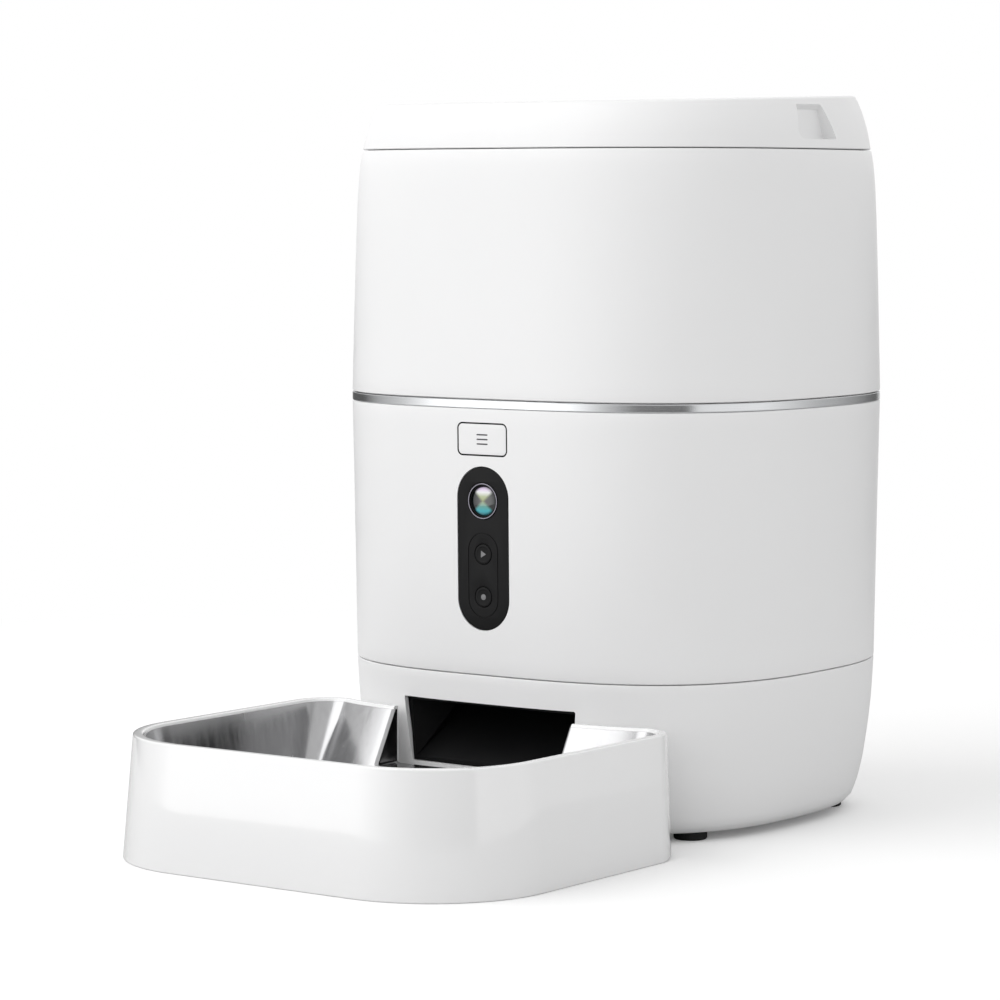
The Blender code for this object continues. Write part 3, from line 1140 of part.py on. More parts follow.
def channel_block(name, spare, setback, top, look=None):
    """The food channel through the tray's rear wall, narrower and shallower by a spare width."""
    low = CHANNEL_FLOOR + spare
    rear = TRAY_REAR + setback
    return block(name, (CHANNEL_WIDTH - 2 * spare, CHANNEL_FRONT - rear, top - low),
                 (0, -(CHANNEL_FRONT + rear) / 2, (top + low) / 2), look)


def make_tray():
    """Food tray that stands before the base, and the steel liner that lifts out of it."""
    floor_low = PAN_TOP + CLEARANCE
    floor_high = floor_low + TRAY_FLOOR
    rim = TRAY_HEIGHT
    shoulder = rim - TRAY_RIM_ROUND

    def inner(rise, extra=0.0):
        """Offsets of the tray's inside at a share of the way up, drawn in by an extra."""
        return (-TRAY_RIM_WIDTH - TRAY_INSIDE_DRAFT * (1 - rise) - extra,
                -TRAY_REAR_WALL - TRAY_REAR_LEAN * (1 - rise) - extra)

    bend = FLOOR_FILLET
    fold = rim - TRAY_FOLD_DROP
    fold_outer = TRAY_FLARE * (1 - fold / rim) - TRAY_WALL
    fold_inner = fold_outer - TRAY_FOLD_WIDTH
    foot_inner = TRAY_FLARE - TRAY_WALL
    low_front, low_rear = inner(0)
    under_front = low_front + TRAY_WALL - bend / 2
    rings = [tray_ring(low_front - bend, low_rear - bend, floor_high, floor_high),
             tray_ring(low_front - bend / 3, low_rear - bend / 3, floor_high + bend / 3, floor_high + bend / 3),
             tray_ring(*inner(bend / (rim - floor_high)), floor_high + bend, floor_high + bend),
             tray_ring(*inner(1), shoulder, shoulder),
             tray_ring(TRAY_RIM_ROUND - TRAY_RIM_WIDTH, TRAY_RIM_ROUND / 2 - TRAY_REAR_WALL, rim, rim),
             tray_ring(-TRAY_RIM_ROUND, -TRAY_RIM_ROUND / 2, rim, rim),
             tray_ring(TRAY_FLARE * TRAY_RIM_ROUND / rim, 0, shoulder, shoulder),
             tray_ring(TRAY_FLARE, 0, 0, floor_low),
             tray_ring(foot_inner, -TRAY_REAR_WALL / 2, 0, floor_low),
             tray_ring(fold_outer, -TRAY_REAR_WALL, fold, floor_low),
             tray_ring(fold_inner, -TRAY_REAR_WALL * 3 / 2, fold, floor_low),
             tray_ring(under_front, low_rear - bend / 2, floor_low, floor_low)]
    tray = loft("food_tray", rings, "white")

    lean = TRAY_REAR_LEAN / (rim - floor_high)
    back = -TRAY_REAR - TRAY_REAR_WALL
    bottom = floor_low - OVERRUN

    def hollow(name, left, right, top, spare):
        """Room under the leaning rear wall, open at the bottom, between two places across."""
        outline = [(back, bottom), (back, top), (back - lean * (rim - top) + spare, top),
                   (back - lean * (rim - bottom) + spare, bottom)]
        return prism(name, [outline], right - left, None, ((left + right) / 2, 0, 0), FACING_SIDE)

    side_in = CHANNEL_WIDTH / 2 + TRAY_RIB
    side_spare = TRAY_RIB + TRAY_HOLLOW_SPARE
    side_top = rim - (side_spare + TRAY_HOLLOW_LEAST) / lean
    cut(tray, hollow("hollow_middle_cutter", -CHANNEL_WIDTH / 2, CHANNEL_WIDTH / 2, CHANNEL_FLOOR - TRAY_RIB,
                     TRAY_RIB + TRAY_HOLLOW_LEAST),
        hollow("hollow_right_cutter", side_in, TRAY_HOLLOW_REACH, side_top, side_spare),
        hollow("hollow_left_cutter", -TRAY_HOLLOW_REACH, -side_in, side_top, side_spare),
        channel_block("channel_cutter", 0, -OVERRUN, rim + OVERRUN))

    lift = CLEARANCE
    steel = LINER_THICKNESS
    top = shoulder - LINER_DROP

    def liner_rings(extra, floor):
        """Rings of one face of the liner, from its floor to its edge."""
        edge_rise = (top - floor) / (rim - floor)
        return [tray_ring(low_front - extra - bend, low_rear - extra - bend, floor, floor),
                tray_ring(low_front - extra - bend / 3, low_rear - extra - bend / 3, floor + bend / 3,
                          floor + bend / 3),
                tray_ring(*inner(bend / (rim - floor), extra), floor + bend, floor + bend),
                tray_ring(*inner(edge_rise, extra), top, top)]

    liner = loft("bowl_liner", liner_rings(lift, floor_high + lift), "liner")
    join(liner, channel_block("liner_channel_shape", lift, LINER_SETBACK, top))
    inside = liner_rings(lift + steel, floor_high + lift + steel)
    inside.append([(x, y, z + OVERRUN) for x, y, z in inside[-1]])
    cut(liner, loft("liner_room_cutter", inside, None),
        channel_block("liner_channel_cutter", lift + steel, LINER_SETBACK - OVERRUN, top + OVERRUN))


def main():
    start()
    finish("white", (0.86, 0.86, 0.87), 0.22)
    finish("black", (0.02, 0.02, 0.022), 0.35)
    finish("dark", (0.012, 0.012, 0.013), 0.5)
    finish("chrome", (0.62, 0.63, 0.64), 0.25, 1.0)
    finish("steel", (0.55, 0.55, 0.56), 0.35, 1.0)
    finish("liner", (0.50, 0.50, 0.51), 0.28, 1.0)
    finish("brass", (0.72, 0.55, 0.28), 0.35, 1.0)
    finish("rubber", (0.02, 0.02, 0.02), 0.8)
    finish("seal", (0.55, 0.56, 0.58), 0.6)
    finish("gear", (0.75, 0.74, 0.70), 0.45)
    finish("board", (0.03, 0.16, 0.08), 0.5)
    finish("chip", (0.05, 0.05, 0.055), 0.45)
    finish("window", (0.05, 0.07, 0.09), 0.05)
    make_base()
    make_housing()
    make_camera_and_keys()
    make_chute()
    make_drive()
    make_hopper()
    make_lid()
    make_electronics()
    make_tray()


main()
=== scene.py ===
"""Looks of the pet feeder with camera: fine skins, finishes, studio and camera.

Lengths are in metres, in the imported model's own frame. The feeder faces -Y and stands on
z = 0. The tower's skins follow the same rounded section as the model's solids.
"""
import json
import math

import bmesh
import bpy
import numpy as np
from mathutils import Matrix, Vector
from mathutils.bvhtree import BVHTree
from mathutils.interpolate import poly_3d_calc


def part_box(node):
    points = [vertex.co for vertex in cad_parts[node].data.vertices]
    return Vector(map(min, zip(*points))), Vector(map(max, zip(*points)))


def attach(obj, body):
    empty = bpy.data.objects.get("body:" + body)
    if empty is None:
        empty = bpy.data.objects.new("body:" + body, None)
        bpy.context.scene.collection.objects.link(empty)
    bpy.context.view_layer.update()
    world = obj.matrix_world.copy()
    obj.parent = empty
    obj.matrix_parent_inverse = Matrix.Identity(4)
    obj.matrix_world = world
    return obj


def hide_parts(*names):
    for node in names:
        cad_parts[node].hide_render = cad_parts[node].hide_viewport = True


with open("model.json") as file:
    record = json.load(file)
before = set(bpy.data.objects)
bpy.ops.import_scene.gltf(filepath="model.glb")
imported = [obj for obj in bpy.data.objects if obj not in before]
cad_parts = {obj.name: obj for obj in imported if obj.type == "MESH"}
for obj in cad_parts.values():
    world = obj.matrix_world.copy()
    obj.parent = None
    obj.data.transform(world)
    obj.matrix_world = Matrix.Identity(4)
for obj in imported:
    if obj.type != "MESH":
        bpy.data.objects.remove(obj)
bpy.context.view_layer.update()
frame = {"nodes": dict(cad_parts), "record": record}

# Fits
GAP = 0.0003
SEAM = 0.0005
HAIR = 0.0001
WALL = 0.0025
LIP_HEIGHT = 0.0060
LIP_THICKNESS = 0.0020
EDGE_ROUND = 0.0006
REACH = 0.0300
LEDGE_HEIGHT = 0.0030
PAN_LEDGE = 0.0120
DECK_LEDGE = 0.0080
SLOT_HALF = 0.0303
SOCKET_HOLE = 0.0050
BAND_ROUND = 0.0004

# The tower's section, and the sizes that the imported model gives
ACROSS_POWER = 3.12
DEEP_POWER = 2.64
BAND_LOW, BAND_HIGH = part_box("trim_band")
HALF_WIDTH = BAND_HIGH.x
HALF_DEPTH = (BAND_HIGH.y - BAND_LOW.y) / 2
TOWER_Y = (BAND_HIGH.y + BAND_LOW.y) / 2
BASE_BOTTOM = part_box("base_housing")[0].z
BASE_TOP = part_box("main_housing")[0].z - SEAM / 2
BAND_BOTTOM = BAND_LOW.z - SEAM / 2
BAND_TOP = BAND_HIGH.z + SEAM / 2
LID_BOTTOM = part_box("lid_shell")[0].z - SEAM / 2
LID_SLOPE = 0.0318
LID_HEIGHT = 0.0248

# Food outlet and the channel that leads from it through the tray's rear wall
OUTLET_LOW, OUTLET_HIGH = 0.0310, 0.0625
OUTLET_LOW_HALF, OUTLET_HIGH_HALF = 0.0475, 0.0505
CHANNEL_HALF = 0.0523
CHANNEL_FLOOR = 0.0290
CHANNEL_BEND = 0.0024
OUTLET_ROUND = 0.0012

# Each row: share of the piece's height, share of the tower's width and depth
BASE_SHARES = ((0.0, 0.868), (0.012, 0.882), (0.045, 0.9005), (0.12, 0.918), (0.24, 0.9365),
               (0.443, 0.956), (0.70, 0.973), (1.0, 0.983))
HOUSING_SHARES = ((0.0, 0.983), (0.20, 0.986), (0.45, 0.990), (0.70, 0.994), (1.0, 0.9995))
BAND_SHARES = ((0.0, 1.0), (1.0, 1.0))
HOPPER_SHARES = ((0.0, 1.0), (0.125, 0.997), (0.30, 0.993), (0.47, 0.9885), (0.63, 0.984),
                 (0.795, 0.978), (0.90, 0.972), (0.96, 0.966), (1.0, 0.959))
LID_SHARES = ((0.0, 0.958), (0.27, 0.948), (0.52, 0.935), (0.80, 0.914), (0.93, 0.901),
              (0.985, 0.891), (1.0, 0.880))

# Fineness of the skins
TOWER_SIDES = 240
ROUND_SIDES = 96
LEVELS = 22


class Wire:
    """A socket in a finish, with the arithmetic that the finishes use."""

    def __init__(self, finish, socket):
        self.finish = finish
        self.socket = socket

    def maths(self, operation, *values):
        return self.finish.node("Math", {"operation": operation}, dict(enumerate(values)))

    def __add__(self, other):
        return self.maths("ADD", self, other)

    def __radd__(self, other):
        return self.maths("ADD", other, self)

    def __sub__(self, other):
        return self.maths("SUBTRACT", self, other)

    def __rsub__(self, other):
        return self.maths("SUBTRACT", other, self)

    def __mul__(self, other):
        return self.maths("MULTIPLY", self, other)

    def __rmul__(self, other):
        return self.maths("MULTIPLY", other, self)

    def __truediv__(self, other):
        return self.maths("DIVIDE", self, other)

    def __rtruediv__(self, other):
        return self.maths("DIVIDE", other, self)

    def power(self, other):
        return self.maths("POWER", self, other)

    def size(self):
        return self.maths("ABSOLUTE", self)

    def larger(self, other):
        return self.maths("MAXIMUM", self, other)


class Finish:
    """A node tree that is written with wires."""

    def __init__(self, tree):
        self.tree = tree

    def node(self, kind, settings=None, sockets=None, output=0):
        """Add a node: its settings first, then its sockets' values or links."""
        item = self.tree.nodes.new("ShaderNode" + kind)
        for name, value in (settings or {}).items():
            if name == "stops":
                ramp = item.color_ramp
                while len(ramp.elements) < len(value):
                    ramp.elements.new(1)
                for stop, (place, level) in zip(ramp.elements, value):
                    stop.position = place
                    stop.color = (level, level, level, 1) if isinstance(level, (int, float)) else (*level, 1)
            else:
                setattr(item, name, value)
        for name, value in (sockets or {}).items():
            self.give(item.inputs[name], value)
        return Wire(self, item.outputs[output])

    def give(self, socket, value):
        if isinstance(value, Wire):
            self.tree.links.new(value.socket, socket)
        else:
            socket.default_value = value

    def place(self):
        """The point on the piece, in metres."""
        return self.node("TexCoord", output=3)

    def parts_of(self, vector):
        split = self.tree.nodes.new("ShaderNodeSeparateXYZ")
        self.give(split.inputs[0], vector)
        return [Wire(self, item) for item in split.outputs]

    def vector(self, x, y, z):
        return self.node("CombineXYZ", sockets={0: x, 1: y, 2: z})

    def noise(self, vector, scale, detail=2.0, roughness=0.5):
        return self.node("TexNoise", sockets={"Vector": vector, "Scale": scale, "Detail": detail,
                                              "Roughness": roughness})

    def ramp(self, value, *stops):
        return self.node("ValToRGB", {"stops": stops}, {0: value})

    def blend(self, share, first, second):
        """Mix two colours."""
        return self.node("Mix", {"data_type": "RGBA"}, {0: share, 6: first, 7: second}, output=2)

    def span(self, value, low, high, to_low=0.0, to_high=1.0):
        """Map a range of values to another, clamped."""
        return self.node("MapRange", sockets={0: value, 1: low, 2: high, 3: to_low, 4: to_high})

    def bump(self, height, depth, strength=1.0):
        return self.node("Bump", sockets={"Strength": strength, "Distance": depth, "Height": height})


finishes = {}


def surface(name, colour, roughness, metallic=0.0, **sockets):
    """Start a finish with the values that are the same all over it."""
    material = bpy.data.materials.new(name)
    material.use_nodes = True
    shader = material.node_tree.nodes["Principled BSDF"]
    finish = Finish(material.node_tree)
    finish.shader = shader
    finish.material = material
    finish.give(shader.inputs["Base Color"], (*colour, 1))
    finish.give(shader.inputs["Roughness"], roughness)
    finish.give(shader.inputs["Metallic"], metallic)
    for socket, value in sockets.items():
        finish.give(shader.inputs[socket.replace("_", " ").title().replace("Ior", "IOR")], value)
    finishes[name] = finish
    return finish


def tinted(colour, change):
    """A colour made lighter or darker by a share."""
    return (*[min(1.0, part * (1 + change)) for part in colour], 1)


def moulded(name, colour, roughness, grain, depth, **sockets):
    """Moulded plastic: faint flow marks in its colour, uneven gloss and a fine surface."""
    finish = surface(name, colour, roughness, **sockets)
    spot = finish.place()
    flow = finish.noise(spot, 14, 3)
    fine = finish.noise(spot, grain, 4, 0.6)
    finish.give(finish.shader.inputs["Base Color"],
                finish.blend(flow, tinted(colour, -0.012), tinted(colour, 0.012)))
    finish.give(finish.shader.inputs["Roughness"],
                finish.span(finish.noise(spot, 60, 3), 0.3, 0.7, roughness * 0.88, roughness * 1.12))
    finish.give(finish.shader.inputs["Normal"], finish.bump(fine, depth))
    return finish


def brushed(name, colour, roughness, direction, spread, **sockets):
    """Metal with fine parallel streaks along a direction."""
    finish = surface(name, colour, roughness, 1.0, **sockets)
    x, y, z = finish.parts_of(finish.place())
    lined = finish.vector(x * direction[0], y * direction[1], z * direction[2])
    streaks = finish.noise(lined, 1.0, 5, 0.65)
    finish.give(finish.shader.inputs["Base Color"],
                finish.blend(streaks, tinted(colour, -spread), tinted(colour, spread)))
    finish.give(finish.shader.inputs["Roughness"],
                finish.span(streaks, 0.3, 0.7, roughness * 0.8, roughness * 1.25))
    finish.give(finish.shader.inputs["Normal"], finish.bump(streaks, 0.00002))
    return finish


WHITE = (0.88, 0.88, 0.882)


def make_finishes():
    moulded("white", WHITE, 0.34, 900, 0.000004, specular_ior_level=0.35)
    moulded("bowl_white", WHITE, 0.12, 900, 0.000003, coat_weight=0.9, coat_roughness=0.03)
    moulded("inner_white", (0.80, 0.80, 0.79), 0.35, 700, 0.00001)
    moulded("black", (0.0070, 0.0070, 0.0074), 0.38, 2200, 0.00001, specular_ior_level=0.14)
    moulded("dark", (0.0050, 0.0050, 0.0054), 0.42, 1500, 0.00002, specular_ior_level=0.12)
    # Black for the ring in the wide key's gap: painted shade for the deep gap.
    moulded("painted_gap_shade", (0.006, 0.006, 0.006), 0.6, 1500, 0.00002, specular_ior_level=0.1)
    brushed("chrome", (0.66, 0.67, 0.68), 0.16, (30, 30, 4200), 0.10)
    brushed("dark_chrome", (0.20, 0.19, 0.22), 0.25, (400, 400, 400), 0.10)
    brushed("steel", (0.56, 0.56, 0.57), 0.33, (400, 400, 400), 0.08)
    # Steel liner, set darker than the plain steel: its colour also paints in the shade inside the bowl.
    brushed("liner", (0.40, 0.40, 0.405), 0.22, (260, 260, 14), 0.14)
    brushed("brass", (0.72, 0.55, 0.28), 0.34, (500, 500, 500), 0.08)
    moulded("rubber", (0.012, 0.012, 0.012), 0.75, 1600, 0.00004, specular_ior_level=0.2)
    moulded("seal", (0.55, 0.56, 0.58), 0.55, 1200, 0.00003)
    moulded("gear", (0.75, 0.74, 0.70), 0.42, 900, 0.00002)
    moulded("chip", (0.045, 0.045, 0.05), 0.45, 1800, 0.00003)
    moulded("mark_dark", (0.035, 0.035, 0.038), 0.4, 1500, 0.00001)
    moulded("mark_pale", (0.20, 0.20, 0.205), 0.4, 1500, 0.00001)
    make_board_finish()
    make_glass_finish()
    make_lens_finish()


def make_board_finish():
    """Circuit board: green mask over copper tracks, with weave showing through."""
    finish = surface("board", (0.03, 0.16, 0.08), 0.42)
    spot = finish.place()
    x, y, z = finish.parts_of(spot)
    cells = finish.node("TexVoronoi", {"feature": "DISTANCE_TO_EDGE", "distance": "MANHATTAN"},
                        {"Vector": spot, "Scale": 160.0, "Randomness": 0.65})
    track = finish.span(cells, 0.05, 0.09, 1, 0)
    weave = (x * 5200).maths("SINE") * (z * 5200).maths("SINE")
    finish.give(finish.shader.inputs["Base Color"],
                finish.blend(track * 0.8, (0.020, 0.130, 0.060, 1), (0.050, 0.260, 0.110, 1)))
    finish.give(finish.shader.inputs["Normal"], finish.bump(track + weave * 0.08, 0.00003))


def make_glass_finish():
    """Dark coated window: deep glass with a faint smear in its gloss."""
    finish = surface("window", (0.010, 0.012, 0.016), 0.03, ior=1.5, coat_weight=1.0, coat_roughness=0.02)
    spot = finish.place()
    finish.give(finish.shader.inputs["Roughness"], finish.span(finish.noise(spot, 300, 4), 0.3, 0.7, 0.02,
                                                               0.06))
    finish.give(finish.shader.inputs["Base Color"],
                finish.blend(finish.noise(spot, 120), (0.008, 0.010, 0.014, 1), (0.014, 0.016, 0.022, 1)))


def make_lens_finish():
    """Lens with its coating's reflections painted on: a pale top, an olive middle, a teal foot and dark
    sides, which also glow by emission.
    """
    low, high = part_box("lens_window")
    middle = (low.z + high.z) / 2
    radius = (high.z - low.z) / 2
    finish = surface("coated_lens", (0.01, 0.012, 0.014), 0.06, coat_weight=1.0, coat_roughness=0.02)
    x, y, z = finish.parts_of(finish.place())
    up = (z - middle) / radius
    side = (x / radius).size()
    spread = finish.span(up.size() * 1.05 + 0.20 - side, 0.0, 0.30)
    rim = finish.span(up * up + side * side, 0.90, 0.55)
    painted_reflection_tint = finish.ramp(finish.span(up, -0.95, 0.95), (0.0, (0.015, 0.16, 0.20)), (0.18, (0.030, 0.30, 0.34)),
                       (0.38, (0.10, 0.22, 0.16)), (0.52, (0.20, 0.23, 0.07)), (0.66, (0.26, 0.30, 0.16)),
                       (0.80, (0.55, 0.55, 0.56)), (0.92, (0.52, 0.40, 0.58)), (1.0, (0.16, 0.07, 0.22)))
    # Painted reflection: the coating's banded tint goes into the base colour and also glows by emission,
    # though the lens is no lamp.
    glow = finish.blend(spread * rim, (0.004, 0.006, 0.006, 1), painted_reflection_tint)
    finish.give(finish.shader.inputs["Base Color"], glow)
    finish.give(finish.shader.inputs["Emission Color"], glow)
    finish.give(finish.shader.inputs["Emission Strength"], 0.45)


def mesh_from(name, points, faces):
    mesh = bpy.data.meshes.new(name)
    mesh.from_pydata([tuple(map(float, point)) for point in points], [], faces)
    shape = bmesh.new()
    shape.from_mesh(mesh)
    bmesh.ops.recalc_face_normals(shape, faces=shape.faces)
    shape.to_mesh(mesh)
    shape.free()
    return mesh


def smooth(mesh, angle=32):
    mesh.shade_smooth()
    mesh.set_sharp_from_angle(angle=math.radians(angle))


def add(name, mesh, finish, body, nodes=(), angle=32):
    """Put a mesh in the scene as a piece on a body, in place of the solids that it shows."""
    mesh.name = name
    item = bpy.data.objects.new(name, mesh)
    bpy.context.scene.collection.objects.link(item)
    mesh.materials.clear()
    mesh.materials.append(finishes[finish].material)
    if not mesh.has_custom_normals:
        smooth(mesh, angle)
    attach(item, body)
    if nodes:
        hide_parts(*nodes)
    return item


def soften(points, radius, steps=3, closed=True):
    """Round the corners of a line of points of any number of values."""
    points = [np.array(point, float) for point in points]
    result = []
    count = len(points)
    for k, corner in enumerate(points):
        if not closed and k in (0, count - 1):
            result.append(corner)
            continue
        before, after = points[k - 1] - corner, points[(k + 1) % count] - corner
        reach_before, reach_after = np.linalg.norm(before), np.linalg.norm(after)
        cut = min(radius, reach_before * 0.45, reach_after * 0.45)
        start = corner + before / reach_before * cut
        end = corner + after / reach_after * cut
        for step in range(steps + 1):
            t = step / steps
            result.append(start * (1 - t) ** 2 + corner * 2 * t * (1 - t) + end * t ** 2)
    return result


def skin(name, rings, closed=True, capped=False):
    """Join rings of as many points each; a closed row ends where it starts."""
    rings = [np.asarray(ring) for ring in rings]
    sides = len(rings[0])
    points = np.vstack(rings)
    faces = []
    rows = len(rings) if closed else len(rings) - 1
    for row in range(rows):
        low, high = row * sides, (row + 1) % len(rings) * sides
        for k in range(sides):
            after = (k + 1) % sides
            faces.append((low + k, low + after, high + after, high + k))
    if capped:
        faces.append(tuple(range(sides)))
        faces.append(tuple((len(rings) - 1) * sides + k for k in range(sides)))
    return mesh_from(name, points, faces)


def eased(table, share):
    """Read a size share at a height share, with the table's rows joined by a smooth curve."""
    heights = np.array([row[0] for row in table])
    sizes = np.array([row[1] for row in table])
    if len(table) == 2:
        return float(np.interp(share, heights, sizes))
    slopes = np.gradient(sizes, heights)
    k = int(np.clip(np.searchsorted(heights, share) - 1, 0, len(heights) - 2))
    length = heights[k + 1] - heights[k]
    t = (min(max(share, 0), 1) - heights[k]) / length
    return float((2 * t ** 3 - 3 * t ** 2 + 1) * sizes[k] + (t ** 3 - 2 * t ** 2 + t) * length * slopes[k]
                 + (3 * t ** 2 - 2 * t ** 3) * sizes[k + 1] + (t ** 3 - t ** 2) * length * slopes[k + 1])


def outline(angles, width, depth):
    across, deep = np.cos(angles), np.sin(angles)
    return (width * np.copysign(np.abs(across) ** (2 / ACROSS_POWER), across),
            depth * np.copysign(np.abs(deep) ** (2 / DEEP_POWER), deep))


def even_angles(count):
    """Angles that space points evenly round the tower."""
    fine = np.linspace(0, 2 * math.pi, 16001)
    x, y = outline(fine, HALF_WIDTH, HALF_DEPTH)
    walked = np.concatenate(([0], np.cumsum(np.hypot(np.diff(x), np.diff(y)))))
    return np.interp(np.linspace(0, walked[-1], count, endpoint=False), walked, fine)


TURNS = even_angles(TOWER_SIDES)


def level_ring(size, inset, height, slope=0.0):
    """One ring of the tower, drawn in from its outside by an inset."""
    x, y = outline(TURNS, HALF_WIDTH * size - inset, HALF_DEPTH * size - inset)
    return np.column_stack((x, y + TOWER_Y, height + slope * y))


def tower_skin(name, profile, table, low, high, radius=EDGE_ROUND):
    """A tower piece from a closed line of (inset, height) points, its long stretches divided."""
    line = soften(profile, radius)
    rings = []
    step = (high - low) / LEVELS
    for k, point in enumerate(line):
        after = line[(k + 1) % len(line)]
        pieces = max(1, int(np.linalg.norm(after - point) / step))
        for part in range(pieces):
            inset, height = point + (after - point) * part / pieces
            rings.append(level_ring(eased(table, (height - low) / (high - low)), inset, height))
    return skin(name, rings)


def front_y(x, z, inset=0.0):
    """Where the main housing's front lies at a place across and a height."""
    size = eased(HOUSING_SHARES, (z - BASE_TOP) / (BAND_BOTTOM - BASE_TOP))
    share = min(abs(x) / (HALF_WIDTH * size), 1)
    return TOWER_Y - (HALF_DEPTH * size - inset) * (1 - share ** ACROSS_POWER) ** (1 / DEEP_POWER)


def cut_away(mesh, *tools, operation="DIFFERENCE"):
    """Cut tools from a mesh and give the rest its old shading back."""
    item = bpy.data.objects.new(mesh.name, mesh)
    bpy.context.scene.collection.objects.link(item)
    helpers = []
    for number, tool in enumerate(tools):
        helper = bpy.data.objects.new(f"{mesh.name}_tool_{number}", tool)
        bpy.context.scene.collection.objects.link(helper)
        step = item.modifiers.new(helper.name, "BOOLEAN")
        step.operation = operation
        step.object = helper
        step.solver = "EXACT"
        helpers.append(helper)
    bpy.context.view_layer.update()
    seen = item.evaluated_get(bpy.context.evaluated_depsgraph_get())
    result = bpy.data.meshes.new_from_object(seen)
    for helper in helpers + [item]:
        bpy.data.objects.remove(helper)
    return result


def carry_normals(mesh, source):
    """Shade a cut mesh as its uncut source, and its new walls by their own angles."""
    smooth(source)
    smooth(mesh)
    tree = BVHTree.FromPolygons([point.co for point in source.vertices],
                                [tuple(face.vertices) for face in source.polygons])
    source_normals = [corner.vector.copy() for corner in source.corner_normals]
    own_normals = [corner.vector.copy() for corner in mesh.corner_normals]
    result = []
    for face in mesh.polygons:
        for corner in face.loop_indices:
            point = mesh.vertices[mesh.loops[corner].vertex_index].co
            near = point.lerp(face.center, 0.02)
            spot, facing, index, distance = tree.find_nearest(near)
            normal = own_normals[corner]
            if distance < 0.00004 and facing.dot(face.normal) > 0.95:
                base = source.polygons[index]
                corners = [source.vertices[k].co for k in base.vertices]
                weights = poly_3d_calc(corners, spot)
                normal = sum((source_normals[k] * weight for k, weight in zip(base.loop_indices, weights)),
                             Vector())
            result.append(normal.normalized())
    mesh.normals_split_custom_set(result)
    return mesh


def plate(name, outlines, depth, rounding=0.0, steps=3):
    """A flat plate in X and Z with rounded edges, its front at y = 0 and its back at y = depth."""
    curve = bpy.data.curves.new(name, "CURVE")
    curve.dimensions = "2D"
    curve.fill_mode = "BOTH"
    curve.extrude = depth / 2 - rounding
    curve.bevel_depth = rounding
    curve.bevel_resolution = steps
    curve.offset = -rounding
    for line in outlines:
        spline = curve.splines.new("POLY")
        spline.points.add(len(line) - 1)
        for point, (across, along) in zip(spline.points, line):
            point.co = (across, along, 0, 1)
        spline.use_cyclic_u = True
    item = bpy.data.objects.new(name, curve)
    bpy.context.scene.collection.objects.link(item)
    bpy.context.view_layer.update()
    mesh = bpy.data.meshes.new_from_object(item.evaluated_get(bpy.context.evaluated_depsgraph_get()))
    bpy.data.objects.remove(item)
    shape = bmesh.new()
    shape.from_mesh(mesh)
    bmesh.ops.remove_doubles(shape, verts=shape.verts, dist=0.000005)
    for point in shape.verts:
        across, along, out = point.co
        point.co = (across, depth / 2 - out, along)
    bmesh.ops.recalc_face_normals(shape, faces=shape.faces)
    shape.to_mesh(mesh)
    shape.free()
    return mesh


def shifted(mesh, move):
    """Move each point of a mesh by a rule of its place."""
    for point in mesh.vertices:
        point.co = move(point.co)
    return mesh


def rounded_box(half, low, high, radius, steps=10):
    """Outline of an upright rectangle with round corners."""
    points = []
    for side, level, quarter in ((1, high - radius, 0), (-1, high - radius, 1), (-1, low + radius, 2),
                                 (1, low + radius, 3)):
        for k in range(steps + 1):
            angle = (quarter + k / steps) * math.pi / 2
            points.append((side * (half - radius) + radius * math.cos(angle),
                           level + radius * math.sin(angle)))
    return points


def circle(x, z, radius, sides=64):
    return [(x + radius * math.cos(2 * math.pi * k / sides), z + radius * math.sin(2 * math.pi * k / sides))
            for k in range(sides)]


def turned(name, profile, facing, centre, sides=ROUND_SIDES):
    """Spin a closed profile of (radius, height) about an axis that faces up or to the front."""
    rings = []
    angles = np.linspace(0, 2 * math.pi, sides, endpoint=False)
    for radius, height in profile:
        radius = max(radius, 0.00002)
        across, other = radius * np.cos(angles), radius * np.sin(angles)
        level = np.full(sides, height)
        ring = (across, -level, other) if facing == "front" else (across, other, level)
        rings.append(np.column_stack(ring) + np.array(centre))
    hollow = profile[0][0] > 0 and profile[-1][0] > 0
    return skin(name, rings, closed=hollow, capped=not hollow)


